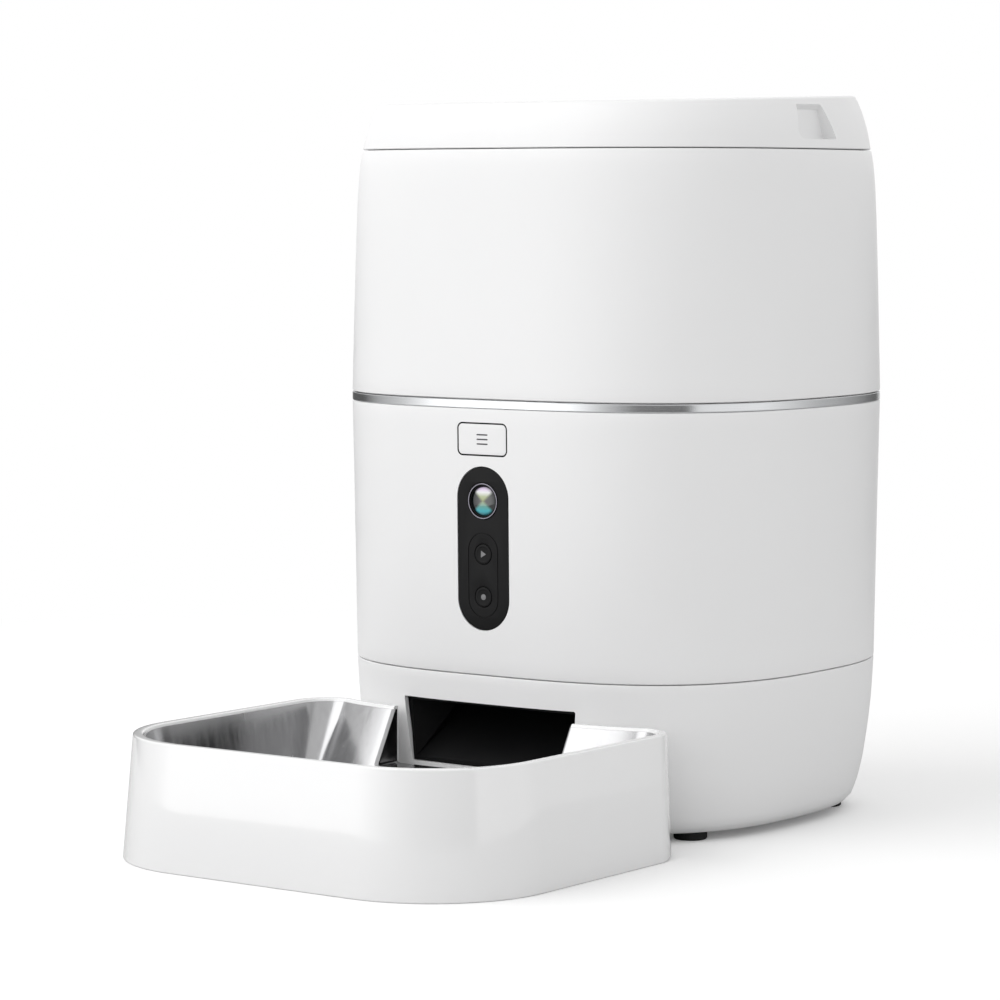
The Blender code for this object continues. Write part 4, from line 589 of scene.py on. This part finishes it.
def make_tower():
    """Base, main housing, band and hopper."""
    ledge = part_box("base_pan")[1].z + GAP
    top = BASE_TOP - SEAM / 2
    lip = WALL + GAP
    base = tower_skin("base_housing_skin", (
        (0, BASE_BOTTOM), (0, top), (lip, top), (lip, top + LIP_HEIGHT), (lip + LIP_THICKNESS,
                                                                          top + LIP_HEIGHT),
        (lip + LIP_THICKNESS, top - LIP_HEIGHT), (WALL, top - 2 * LIP_HEIGHT), (WALL, ledge + LEDGE_HEIGHT),
        (WALL + PAN_LEDGE, ledge + LEDGE_HEIGHT), (WALL + PAN_LEDGE, ledge), (WALL, ledge), (WALL,
                                                                                             BASE_BOTTOM)),
        BASE_SHARES, BASE_BOTTOM, BASE_TOP)
    chute_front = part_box("food_chute")[0].y
    mouth = [(-OUTLET_LOW_HALF, OUTLET_LOW), (-OUTLET_HIGH_HALF, OUTLET_HIGH), (OUTLET_HIGH_HALF,
                                                                                OUTLET_HIGH),
             (OUTLET_LOW_HALF, OUTLET_LOW)]
    outlet = plate("outlet_tool", [soften(mouth, OUTLET_ROUND, 4)], REACH)
    outlet = shifted(outlet, lambda p: Vector((p.x, p.y - REACH / 2 + chute_front, p.z)))
    slot_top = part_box("base_pan")[1].z + GAP / 2
    slot = plate("slot_tool", [[(-SLOT_HALF, -REACH / 3), (-SLOT_HALF, slot_top), (SLOT_HALF, slot_top),
                                (SLOT_HALF, -REACH / 3)]], REACH)
    foot_front = TOWER_Y - HALF_DEPTH * BASE_SHARES[0][1]
    slot = shifted(slot, lambda p: Vector((p.x, p.y + foot_front - REACH / 2, p.z)))
    socket_low, socket_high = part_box("power_socket")
    middle = (socket_low + socket_high) / 2
    hole = turned("socket_tool", ((0, -REACH), (SOCKET_HOLE, -REACH), (SOCKET_HOLE, REACH), (0, REACH)),
                  "front",
                  (middle.x, socket_high.y, middle.z))
    cut = carry_normals(cut_away(base.copy(), outlet, slot, hole), base)
    add("base_housing_skin", cut, "white", "tower", ["base_housing"])

    bottom = BASE_TOP + SEAM / 2
    top = BAND_LOW.z - HAIR
    lip_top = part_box("main_housing")[1].z
    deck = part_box("dispenser_deck")[0].z - GAP
    housing = tower_skin("main_housing_skin", (
        (0, bottom), (0, top), (lip, top), (lip, lip_top), (lip + LIP_THICKNESS, lip_top),
        (lip + LIP_THICKNESS, top - SEAM), (WALL, top - 2 * SEAM - LIP_THICKNESS), (WALL, deck),
        (WALL + DECK_LEDGE, deck), (WALL + DECK_LEDGE, deck - LEDGE_HEIGHT), (WALL, deck - LEDGE_HEIGHT),
        (WALL, bottom)), HOUSING_SHARES, BASE_TOP, BAND_BOTTOM)
    panel_low, panel_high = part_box("camera_panel")
    half = panel_high.x + GAP
    panel_hole = plate("panel_tool", [rounded_box(half, panel_low.z - GAP, panel_high.z + GAP, half, 16)],
                       REACH)
    key_hole = plate("key_tool", [key_outline(0)], REACH)
    tools = [shifted(tool, lambda p: Vector((p.x, p.y + panel_low.y - REACH / 2, p.z)))
             for tool in (panel_hole, key_hole)]
    cut = carry_normals(cut_away(housing.copy(), *tools), housing)
    add("main_housing_skin", cut, "white", "tower", ["main_housing"])

    low, high = BAND_LOW.z, BAND_HIGH.z
    band = tower_skin("trim_band_skin", ((0, low), (0, high), (WALL, high), (WALL, low)), BAND_SHARES, low,
                      high,
                      BAND_ROUND)
    add("trim_band_skin", band, "chrome", "tower", ["trim_band"])

    bottom = BAND_TOP + SEAM / 2
    top = LID_BOTTOM - SEAM / 2
    hopper = tower_skin("hopper_shell_skin", ((0, bottom), (0, top), (WALL, top), (WALL, bottom)),
                        HOPPER_SHARES, BAND_TOP, LID_BOTTOM)
    add("hopper_shell_skin", hopper, "white", "hopper", ["hopper_shell"])


# Camera panel, keys, marks and lens
PANEL_EDGE = 0.00025
GROOVE_HALF = 0.0087
GROOVE_LOW, GROOVE_HIGH = 0.1038, 0.1442
GROOVE_WIDTH = 0.00035
GROOVE_CUT = 0.0010
GROOVE_FRONT = 0.0006
WIDE_KEY_HALF = 0.0146
WIDE_KEY_RISE = 0.00795
WIDE_KEY_CORNER = 0.0030
WIDE_KEY_DEPTH = 0.0042
WIDE_KEY_EDGE = 0.00020
WIDE_KEY_INSET = 0.00072
# Black ring that fills the gap round the wide key: painted shade, standing in for the shade of the deep gap.
GAP_SHADE_INSIDE = 0.00070
GAP_SHADE_SINK = 0.00002
GAP_SHADE_DEPTH = 0.0030
KEY_RADIUS = 0.0047
KEY_FLANGE = 0.0011
KEY_STEM = 0.0020
MARK_SIZE = 0.0017
DOT_RADIUS = 0.0014
MARK_DEPTH = 0.0002
MARK_EDGE = 0.00005
MARK_PROUD = 0.00004
BAR_HALF = 0.0032
BAR_RISE = 0.00032
BAR_CORNER = 0.00030
BAR_EDGE = 0.00004
BAR_PROUD = 0.00005
BAR_STEP = 0.0022
RING_WIDTH = 0.0006
RING_PROUD = 0.0002
RING_EDGE = 0.00015
BARREL_GAP = 0.0009
BARREL_DEPTH = 0.0105
BARREL_BORE = 0.0040
DOME_GAP = 0.0005
DOME_RISE = 0.0012
DOME_SINK = 0.0014
DOME_BACK = 0.0030


def key_outline(spare):
    """The wide key's outline, made larger all round by a spare width."""
    low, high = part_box("set_key")
    middle = (low.z + high.z) / 2
    rise = WIDE_KEY_RISE + spare
    return rounded_box(WIDE_KEY_HALF + spare, middle - rise, middle + rise, WIDE_KEY_CORNER + spare)


# Lid: height shares of its rings and the insets of those on its top
LID_FIRST_SHARE = SEAM / 2 / LID_HEIGHT
LID_WALL_SHARES = (*np.linspace(0.04, 0.90, 18), 0.93, 0.955, 0.975, 0.99, 1.0)
LID_INSIDE_SHARES = (0.80, 0.6, 0.4, 0.2, LID_FIRST_SHARE)
LID_TOP_INSETS = (0.002, 0.006, 0.014, 0.03, 0.05, 0.07, 0.085, 0.095)
LID_UNDER_INSETS = (0.09, 0.06, 0.03, 0.0)

# Finger recess in the lid's sides
RECESS_FLOOR = 0.1085
RECESS_REACH = 0.0125
RECESS_ROOF_DROP = 0.0023
RECESS_WALL = 0.0018
RECESS_FRONT_LOW, RECESS_FRONT_HIGH = -0.0165, -0.0122
RECESS_REAR_LOW, RECESS_REAR_HIGH = 0.0168, 0.0095
RECESS_LOW, RECESS_HIGH = 0.3298, 0.3461
RECESS_ROUND = 0.0048
RECESS_EDGE = 0.0016


def make_lid():
    """Lid with its two finger recesses."""

    def ring(share, inset, lift=0.0):
        return level_ring(eased(LID_SHARES, share), inset, LID_BOTTOM + share * LID_HEIGHT - lift,
                          LID_SLOPE * share)

    first = LID_FIRST_SHARE
    rings = [ring(first, EDGE_ROUND), ring(first + 0.006, EDGE_ROUND * 0.4), ring(first + 0.022, 0)]
    rings += [ring(share, 0) for share in LID_WALL_SHARES]
    rings += [ring(1.0, inset) for inset in LID_TOP_INSETS]
    inner = [ring(1.0, inset + 2 * WALL, WALL) for inset in LID_UNDER_INSETS]
    inner += [ring(share, WALL) for share in LID_INSIDE_SHARES]
    shell = skin("lid_shell_skin", rings[::-1] + inner[::-1], closed=False, capped=True)
    tools, pockets = [], []
    outside = RECESS_FLOOR + RECESS_REACH
    for side in (1, -1):
        roof = ((RECESS_FLOOR, -RECESS_ROOF_DROP), (outside, RECESS_REACH - RECESS_ROOF_DROP))
        tools.append(recess_tool(side, roof, 0))
        pockets.append(recess_tool(side, ((RECESS_FLOOR - RECESS_WALL, 0), (outside, 0)), RECESS_WALL))
    core_rings = [ring(first * 2, WALL / 2)]
    core_rings += [ring(share, WALL / 2) for share in LID_WALL_SHARES[:-2]]
    core_rings.append(ring(1, WALL, WALL / 2))
    core = skin("core_tool", core_rings, closed=False, capped=True)
    kept = [cut_away(pocket, core.copy(), operation="INTERSECT") for pocket in pockets]
    joined = cut_away(shell.copy(), *kept, operation="UNION")
    cut = carry_normals(cut_away(joined, *tools), shell)
    add("lid_shell_skin", cut, "white", "lid", ["lid_shell"])


def recess_tool(side, levels, spare):
    """Finger recess as a solid: its outline at places across, each with a lift of its roof."""
    rings = []
    for across, lift in levels:
        front, low, high = RECESS_FRONT_LOW - spare, RECESS_LOW - spare, RECESS_HIGH + spare + lift
        front_high, rear_high = RECESS_FRONT_HIGH - spare, RECESS_REAR_HIGH + spare
        lean = (rear_high - RECESS_REAR_LOW - spare) / (RECESS_HIGH - RECESS_LOW) * lift
        lean_front = (front_high - front) / (RECESS_HIGH - RECESS_LOW) * lift
        outline = [(front_high + lean_front, high)]
        for k in range(13):
            angle = math.pi + k / 12 * math.pi / 2
            outline.append((front + RECESS_ROUND + RECESS_ROUND * math.cos(angle),
                            low + RECESS_ROUND + RECESS_ROUND * math.sin(angle)))
        rear = soften([(0, low), (RECESS_REAR_LOW + spare, low), (rear_high + lean, high),
                       (front_high + lean_front, high)], RECESS_EDGE, 6, closed=False)
        outline += [tuple(point) for point in rear[1:-1]]
        rings.append([(side * across, y + TOWER_Y, z) for y, z in outline])
    return skin("recess_tool", rings, closed=False, capped=True)


def make_front():
    """Camera panel, keys, their marks and the lens."""
    low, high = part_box("camera_panel")
    window_low, window_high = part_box("lens_ring")
    lens_z = (window_low.z + window_high.z) / 2
    lens_radius = (window_high.z - window_low.z) / 2
    key_heights = {}
    for name in ("play", "record"):
        key_low, key_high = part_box(name + "_key")
        key_heights[name] = (key_low.z + key_high.z) / 2
    holes = [circle(0, lens_z, lens_radius + GAP)]
    holes += [circle(0, z, KEY_RADIUS + GAP) for z in key_heights.values()]
    panel = plate("camera_panel_skin", [rounded_box(high.x, low.z, high.z, high.x, 24)] + holes, WALL,
                  PANEL_EDGE)
    inside = GROOVE_HALF - GROOVE_WIDTH
    tool = plate("groove_tool", [rounded_box(GROOVE_HALF, GROOVE_LOW, GROOVE_HIGH, GROOVE_HALF, 24),
                                 rounded_box(inside, GROOVE_LOW + GROOVE_WIDTH, GROOVE_HIGH - GROOVE_WIDTH,
                                             inside, 24)], GROOVE_CUT)
    tool = shifted(tool, lambda p: Vector((p.x, p.y - GROOVE_FRONT, p.z)))
    panel = cut_away(panel, tool)
    panel = shifted(panel, lambda p: Vector((p.x, p.y + front_y(p.x, p.z), p.z)))
    add("camera_panel_skin", panel, "black", "tower", ["camera_panel"])

    face = front_y(0, lens_z)
    r = lens_radius
    bore = r - RING_WIDTH
    ring = turned("lens_ring_skin", soften([(r, -WALL), (r, RING_PROUD), (bore, RING_PROUD), (bore, -WALL)],
                                           RING_EDGE), "front", (0, face, lens_z))
    add("lens_ring_skin", ring, "dark_chrome", "tower", ["lens_ring"])
    inner = r - BARREL_GAP
    cone = turned("lens_barrel_skin", soften([(inner, -0.0004), (inner, -BARREL_DEPTH), (BARREL_BORE,
                                                                                         -BARREL_DEPTH),
                                              (BARREL_BORE, -0.0035), (inner - 0.0006, -0.0012),
                                              (inner - 0.0004, -0.0004)], 0.0001), "front", (0, face, lens_z))
    add("lens_barrel_skin", cone, "dark", "tower", ["lens_barrel"])
    dome_radius = inner - DOME_GAP
    quarter = [k / 16 * math.pi / 2 for k in range(17)]
    dome = [(dome_radius * math.sin(angle), DOME_RISE * math.cos(angle) - DOME_SINK) for angle in quarter]
    dome += [(dome_radius, -DOME_BACK), (0, -DOME_BACK)]
    # The lens's finish paints its coating's reflections on and makes them glow.
    lens = turned("coated_lens_skin", dome, "front", (0, face, lens_z))
    add("coated_lens_skin", lens, "coated_lens", "tower", ["camera_lens", "lens_window"],
        angle=60)

    for name, z in key_heights.items():
        key_face = front_y(0, z)
        rim, flange = KEY_RADIUS, KEY_RADIUS + KEY_FLANGE
        profile = soften([(0, 0.0), (rim * 0.70, 0.0), (rim * 0.78, 0.00012), (rim, 0.00005), (rim, -0.0026),
                          (flange, -0.0031), (flange, -0.0040), (KEY_STEM, -0.0040), (KEY_STEM, -0.0080),
                          (0, -0.0080)], 0.00018, closed=False)
        profile[0][1] = -0.00018
        key = turned(name + "_key_skin", profile, "front", (0, key_face, z))
        add(name + "_key_skin", key, "black", name + "_key", [name + "_key"])
    size = MARK_SIZE
    play_z, record_z = key_heights["play"], key_heights["record"]
    triangle = soften([(-size * 0.75, play_z - size), (size, play_z), (-size * 0.75, play_z + size)],
                      0.0003, 4)
    for name, z, shape in (("play", play_z, triangle), ("record", record_z, circle(0, record_z, DOT_RADIUS))):
        mark = plate(name + "_mark", [shape], MARK_DEPTH, MARK_EDGE)
        key_face = front_y(0, z) - MARK_PROUD
        mark = shifted(mark, lambda p: Vector((p.x, p.y + key_face, p.z)))
        add(name + "_mark", mark, "mark_pale", name + "_key")

    key = plate("set_key_skin", [key_outline(-WIDE_KEY_INSET)], WIDE_KEY_DEPTH, WIDE_KEY_EDGE)
    key = shifted(key, lambda p: Vector((p.x, p.y + front_y(p.x, p.z), p.z)))
    add("set_key_skin", key, "white", "set_key", ["set_key"])
    # A black ring in the gap round the wide key paints in the gap's shade.
    painted_gap_shade = plate("set_key_painted_gap_shade", [key_outline(-GAP_SHADE_SINK), key_outline(-GAP_SHADE_INSIDE)], GAP_SHADE_DEPTH)
    painted_gap_shade = shifted(painted_gap_shade, lambda p: Vector((p.x, p.y + front_y(p.x, p.z) + GAP_SHADE_SINK, p.z)))
    add("set_key_painted_gap_shade", painted_gap_shade, "painted_gap_shade", "tower")
    set_low, set_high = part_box("set_key")
    middle = (set_low.z + set_high.z) / 2
    for number, lift in enumerate((BAR_STEP, 0.0, -BAR_STEP), 1):
        bar = plate(f"set_mark_{number}", [rounded_box(BAR_HALF, middle + lift - BAR_RISE,
                                                       middle + lift + BAR_RISE,
                                                       BAR_CORNER, 6)], MARK_DEPTH, BAR_EDGE)
        bar = shifted(bar, lambda p: Vector((p.x, p.y + front_y(p.x, p.z) - BAR_PROUD, p.z)))
        add(f"set_mark_{number}", bar, "mark_dark", "set_key")


# Tray, as the model's: its sizes from the tower's axis
TRAY_LOW, TRAY_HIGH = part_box("food_tray")
TRAY_FLARE = 0.0050
TRAY_DIP = 0.0090
TRAY_HALF = TRAY_HIGH.x - TRAY_FLARE
TRAY_FRONT = TOWER_Y - TRAY_LOW.y - TRAY_FLARE
TRAY_REAR = TOWER_Y - TRAY_HIGH.y + TRAY_DIP
TRAY_RIM = TRAY_HIGH.z
TRAY_CORNER = 0.0550
TRAY_EAR = 0.0190
TRAY_LEAST_ROUND = 0.0040
RIM_WIDTH = 0.0045
RIM_ROUND = 0.0012
INSIDE_DRAFT = 0.0080
REAR_WALL = 0.0030
REAR_LEAN = 0.0265
TRAY_WALL = 0.0022
TRAY_RIB = 0.0025
FLOOR_FILLET = 0.0060
STEEL = 0.0008
LINER_SETBACK = 0.0012
CHANNEL_REACH = 0.0200
HOLLOW_REACH = 0.0800
FOLD_DROP = 0.0126
FOLD_WIDTH = 0.0028
TRAY_ROUND = 0.0011
LINER_ROUND = 0.0030


def tray_ring(side_offset, rear_offset, side_height, rear_height, channel=0.0, spare=0.0):
    """One ring of the tray; offsets push it outwards, and the channel's reach opens its rear."""
    half = TRAY_HALF + side_offset
    front = TRAY_FRONT + side_offset
    corner = TRAY_CORNER + side_offset
    ear = max(TRAY_EAR + side_offset, TRAY_LEAST_ROUND)
    ear_x = half - ear
    rear = rear_offset - TRAY_REAR
    ear_y = rear + TRAY_DIP - ear
    right = []
    for k in range(1, 12):
        right.append(((half - corner) * k / 12, -front, side_height))
    for k in range(33):
        angle = -math.pi / 2 + k / 32 * math.pi / 2
        right.append((half - corner + corner * math.cos(angle), corner - front + corner * math.sin(angle),
                      side_height))
    for k in range(1, 12):
        right.append((half, corner - front + (ear_y + front - corner) * k / 12, side_height))
    for k in range(21):
        angle = k / 20 * math.pi / 2
        height = side_height + (rear_height - side_height) * math.sin(angle) ** 2
        right.append((ear_x + ear * math.cos(angle), ear_y + ear * math.sin(angle), height))

    def line(x):
        return rear + TRAY_DIP * (x / ear_x) ** 4

    start = CHANNEL_HALF - GAP - STEEL + spare + CHANNEL_BEND
    for k in range(11, 0, -1):
        x = start + (ear_x - start) * k / 12
        right.append((x, line(x), rear_height))
    reach = min(channel / CHANNEL_REACH, 1)
    side = start - CHANNEL_BEND
    end = -TRAY_REAR - LINER_SETBACK + STEEL * 2
    opened = []
    for k in range(9):
        angle = k / 8 * math.pi / 2
        opened.append((start - CHANNEL_BEND * math.sin(angle),
                       line(start) + CHANNEL_BEND * (1 - math.cos(angle))))
    for k in range(1, 9):
        opened.append((side, line(start) + CHANNEL_BEND + (end - line(start) - CHANNEL_BEND) * k / 8))
    for k in range(1, 8):
        opened.append((side * (1 - k / 8), end))
    count = len(opened)
    for k, (x, y) in enumerate(opened):
        flat = start * (1 - k / count)
        right.append((flat + (x - flat) * reach, line(flat) + (y - line(flat)) * reach, rear_height))
    middle = (0, rear + (end - rear) * reach, rear_height)
    left = [(-x, y, z) for x, y, z in reversed(right)]
    ring = [(0, -front, side_height)] + right + [middle] + left
    return np.array(ring) + np.array((0, TOWER_Y, 0))


def tray_rings(rows, radius, steps=4, spare=0.0):
    """Rings of the tray from rows of offsets, heights and reaches, with rounded corners."""
    rows = [(*row, 0.0)[:5] for row in rows]
    return [tray_ring(*row, spare=spare) for row in soften(rows, radius, steps, closed=False)]


def across_tool(name, outline, left, right):
    """A solid of one outline in Y and Z between two places across."""
    rings = [[(x, y + TOWER_Y, z) for y, z in outline] for x in (left, right)]
    return skin(name, rings, closed=False, capped=True)


def make_tray():
    """White food tray with the steel liner in it."""
    floor_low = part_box("base_pan")[1].z + GAP
    floor_high = floor_low + TRAY_RIB
    rim = TRAY_RIM
    bend = FLOOR_FILLET

    def inner(height, extra=0.0):
        fall = 1 - (height - floor_high) / (rim - floor_high)
        return (-RIM_WIDTH - INSIDE_DRAFT * fall - extra, -REAR_WALL - REAR_LEAN * fall - extra)

    low_front, low_rear = inner(floor_high)
    fold = rim - FOLD_DROP
    rows = [(low_front - 3 * bend, low_rear - 3 * bend, floor_high, floor_high),
            (low_front - bend, low_rear - bend, floor_high, floor_high),
            (*inner(floor_high + bend), floor_high + bend, floor_high + bend),
            (*inner(rim), rim, rim),
            (0.0, 0.0, rim, rim),
            (TRAY_FLARE, 0, 0, floor_low),
            (TRAY_FLARE - TRAY_WALL, -REAR_WALL / 2, 0, floor_low),
            (TRAY_FLARE * (1 - fold / rim) - TRAY_WALL, -REAR_WALL, fold, floor_low),
            (TRAY_FLARE * (1 - fold / rim) - TRAY_WALL - FOLD_WIDTH, -REAR_WALL * 1.5, fold, floor_low),
            (low_front + TRAY_WALL - bend / 2, low_rear - bend / 2, floor_low, floor_low),
            (low_front - 3 * bend, low_rear - 3 * bend, floor_low, floor_low)]
    tray = skin("food_tray_skin", tray_rings(rows, TRAY_ROUND), closed=False, capped=True)
    lean = REAR_LEAN / (rim - floor_high)
    back = -TRAY_REAR - REAR_WALL
    bottom = floor_low - REACH / 8
    deep = back - REAR_LEAN
    tools = [across_tool("channel_tool", [(deep, CHANNEL_FLOOR), (deep, rim + REACH), (back + REACH / 4,
                                                                                       rim + REACH),
                                          (back + REACH / 4, CHANNEL_FLOOR)], -CHANNEL_HALF, CHANNEL_HALF)]
    side_top = rim - (TRAY_RIB * 3 + SEAM * 2) / lean
    for left, right, top, spare in ((-CHANNEL_HALF, CHANNEL_HALF, CHANNEL_FLOOR - TRAY_RIB,
                                     TRAY_RIB + SEAM * 2),
                                    (CHANNEL_HALF + TRAY_RIB, HOLLOW_REACH, side_top, TRAY_RIB * 3),
                                    (-HOLLOW_REACH, -CHANNEL_HALF - TRAY_RIB, side_top, TRAY_RIB * 3)):
        tools.append(across_tool("hollow_tool", [(back, bottom), (back, top),
                                                 (back - lean * (rim - top) + spare, top),
                                                 (back - lean * (rim - bottom) + spare,
                                                  bottom)], left, right))
    cut = carry_normals(cut_away(tray.copy(), *tools), tray)
    add("food_tray_skin", cut, "bowl_white", "tray", ["food_tray"])

    top = rim - RIM_ROUND - GAP / 2
    floor = floor_high + GAP

    def face(extra, base, channel_floor):
        rows = [(low_front - extra - 3 * bend, low_rear - extra - 3 * bend, base, base),
                (low_front - extra - bend, low_rear - extra - bend, base, base),
                (*inner(base + bend, extra), base + bend, base + bend)]
        for height, reach in ((channel_floor, 0), (channel_floor, CHANNEL_REACH), (top, CHANNEL_REACH)):
            rows.append((*inner(height, extra), height, height, reach))
        return rows

    outer = tray_rings(face(GAP, floor, CHANNEL_FLOOR + GAP), LINER_ROUND, 6, STEEL)
    inside = tray_rings(face(GAP + STEEL, floor + STEEL, CHANNEL_FLOOR + GAP + STEEL),
                        LINER_ROUND - STEEL / 2, 6)
    liner = skin("bowl_liner_skin", outer + inside[::-1], closed=False, capped=True)
    end = -TRAY_REAR - LINER_SETBACK
    tool = across_tool("liner_end_tool", [(end, 0), (end, rim + REACH), (end + REACH, rim + REACH),
                                          (end + REACH, 0)],
                       -CHANNEL_HALF - STEEL, CHANNEL_HALF + STEEL)
    cut = carry_normals(cut_away(liner.copy(), tool), liner)
    add("bowl_liner_skin", cut, "liner", "liner", ["bowl_liner"])


def make_feet():
    """Rubber feet with a grooved sole."""
    for number in range(1, 5):
        low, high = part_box(f"foot_{number}")
        middle = (low + high) / 2
        radius = (high.x - low.x) / 2
        profile = [(0, high.z), (radius, high.z), (radius, 0.0006), (radius - 0.0006, 0), (radius * 0.72, 0),
                   (radius * 0.68, 0.0005), (radius * 0.60, 0.0005), (radius * 0.56, 0), (0, 0)]
        foot = turned(f"foot_{number}_skin", soften(profile, 0.0002, 2, closed=False), "up", (middle.x,
                                                                                              middle.y, 0))
        add(f"foot_{number}_skin", foot, "rubber", "tower", [f"foot_{number}"])


def dress_solids():
    """Give every solid that stays in view its finish by its slot."""
    slots = {row["node"]: row["material_slot"] for row in frame["record"]["subparts"]}
    inner_white = {"hopper_funnel", "dispenser_deck", "metering_ring", "battery_box", "lid_plug"}
    for node, item in frame["nodes"].items():
        finish = "inner_white" if node in inner_white else slots[node]
        for place in item.material_slots:
            place.material = finishes[finish].material


# Studio: world, floor, lamps and camera
SKY_LOW = 1.25
SKY_FALL = 0.70
FLOOR_BOUNCE = 0.60
FLOOR_LIFT = 0.10
KEY_POWER = 30.0
KEY_SIZE = 2.4
KEY_PLACE = (-1.15, -1.60, 1.95)
CAMERA_PLACE = (1.0583, -1.4567, 0.3025)
CAMERA_TURN = (math.pi / 2 - 0.0801, 0, 0.63298)
CAMERA_LENS = 135.96
SENSOR_WIDTH = 36
LAMP_AIM = (0, 0, 0.15)
FLOOR_REACH = 30
FLOOR_NEAR, FLOOR_FAR = 0.45, 0.95
FLOOR_SEEN = (0.97, 0.97, 0.97, 1)
CARD_RADIUS = 1.0
CARD_HEIGHT = 0.42
CARD_GLOW = 2.4
# Each row: degrees round from the front towards the right, and the card's brightness there
CARD_LEVELS = ((-180, 0.05), (-165, 0.40), (-140, 0.45), (-122, 0.05), (-88, 0.05), (-70, 0.22), (-52, 0.34),
               (-42, 0.55), (-36, 0.85), (-22, 0.85), (-10, 0.60), (4, 0.32), (24, 0.10), (60, 0.08), (66,
                                                                                                       0.42),
               (112, 0.46), (132, 0.34), (148, 0.18), (165, 0.09), (180, 0.05))


def make_studio():
    scene = bpy.context.scene
    scene.view_settings.view_transform = "Standard"
    world = bpy.data.worlds.new("studio")
    scene.world = world
    world.use_nodes = True
    finish = Finish(world.node_tree)
    seen = finish.node("LightPath", output=0)
    path = seen.socket.node
    straight = seen.larger(Wire(finish, path.outputs["Is Glossy Ray"])).larger(
        Wire(finish, path.outputs["Is Transmission Ray"]))
    x, y, z = finish.parts_of(finish.node("TexCoord", output=0))
    sky = SKY_LOW - z * SKY_FALL
    background = world.node_tree.nodes["Background"]
    finish.give(background.inputs["Color"], (1, 1, 1, 1))
    finish.give(background.inputs["Strength"], straight + (1 - straight) * sky)
    make_floor()
    make_card()

    lamp = bpy.data.lights.new("key_lamp", "AREA")
    lamp.shape = "SQUARE"
    lamp.size = KEY_SIZE
    lamp.energy = KEY_POWER
    item = bpy.data.objects.new("key_lamp", lamp)
    item.location = KEY_PLACE
    item.rotation_euler = (Vector(LAMP_AIM) - item.location).to_track_quat("-Z", "Y").to_euler()
    scene.collection.objects.link(item)

    camera = bpy.data.cameras.new("camera")
    camera.lens = CAMERA_LENS
    camera.sensor_width = SENSOR_WIDTH
    item = bpy.data.objects.new("camera", camera)
    item.location = CAMERA_PLACE
    item.rotation_euler = CAMERA_TURN
    scene.collection.objects.link(item)
    scene.camera = item


def make_floor():
    """Pale floor that keeps the shadow and turns plain white further away."""
    finish = surface("floor", (0.80, 0.80, 0.80), 0.9)
    finish.give(finish.shader.inputs["Specular IOR Level"], 0.0)
    spot = finish.place()
    x, y, z = finish.parts_of(spot)
    distance = (x * x + y * y).power(0.5)
    away = finish.span(distance, FLOOR_NEAR, FLOOR_FAR)
    seen = finish.node("LightPath", output=0)
    tone = finish.noise(spot, 3, 3)
    grey = finish.blend(tone, tinted((FLOOR_BOUNCE,) * 3, -0.01), tinted((FLOOR_BOUNCE,) * 3, 0.01))
    finish.give(finish.shader.inputs["Base Color"], finish.blend(seen, grey, FLOOR_SEEN))
    finish.give(finish.shader.inputs["Emission Color"], finish.blend(seen, (0, 0, 0, 1), (1, 1, 1, 1)))
    finish.give(finish.shader.inputs["Emission Strength"], FLOOR_LIFT)
    white = finish.node("Emission", sockets={"Color": (1, 1, 1, 1), "Strength": 1.0})
    mixed = finish.node("MixShader", sockets={0: away * seen, 1: Wire(finish, finish.shader.outputs[0]),
                                              2: white})
    finish.give(finish.tree.nodes["Material Output"].inputs["Surface"], mixed)
    reach = FLOOR_REACH
    stage_piece("floor", [(-reach, -reach, 0), (reach, -reach, 0), (reach, reach, 0), (-reach, reach, 0)],
                [(0, 1, 2, 3)], finish)


def make_card():
    """Round card with pale and dark zones, which only polished surfaces show."""
    finish = surface("card", (0, 0, 0), 1.0)
    x, y, z = finish.parts_of(finish.place())
    turn = (x.maths("ARCTAN2", x, (y - TOWER_Y) * -1)) / (2 * math.pi) + 0.5
    stops = [((angle + 180) / 360, level) for angle, level in CARD_LEVELS]
    tone = finish.ramp(turn, *stops)
    fade = finish.span(z, CARD_HEIGHT * 0.5, CARD_HEIGHT)
    level = finish.blend(fade, tone, (1 / CARD_GLOW,) * 3 + (1,))
    glow = finish.node("Emission", sockets={"Color": level, "Strength": CARD_GLOW})
    finish.give(finish.tree.nodes["Material Output"].inputs["Surface"], glow)
    sides = ROUND_SIDES
    turns = [2 * math.pi * k / sides for k in range(sides)]
    ring = [(CARD_RADIUS * math.sin(turn), TOWER_Y - CARD_RADIUS * math.cos(turn)) for turn in turns]
    points = [(x, y, 0) for x, y in ring] + [(x, y, CARD_HEIGHT) for x, y in ring]
    faces = [(k, (k + 1) % sides, sides + (k + 1) % sides, sides + k) for k in range(sides)]
    card = stage_piece("card", points, faces, finish)
    card.visible_camera = False
    card.visible_diffuse = False
    card.visible_transmission = False
    card.visible_shadow = False


def stage_piece(name, points, faces, finish):
    mesh = mesh_from(name, points, faces)
    mesh.materials.append(finish.material)
    item = bpy.data.objects.new(name, mesh)
    bpy.context.scene.collection.objects.link(item)
    return item


make_finishes()
make_studio()
make_tower()
make_lid()
make_front()
make_tray()
make_feet()
dress_solids()
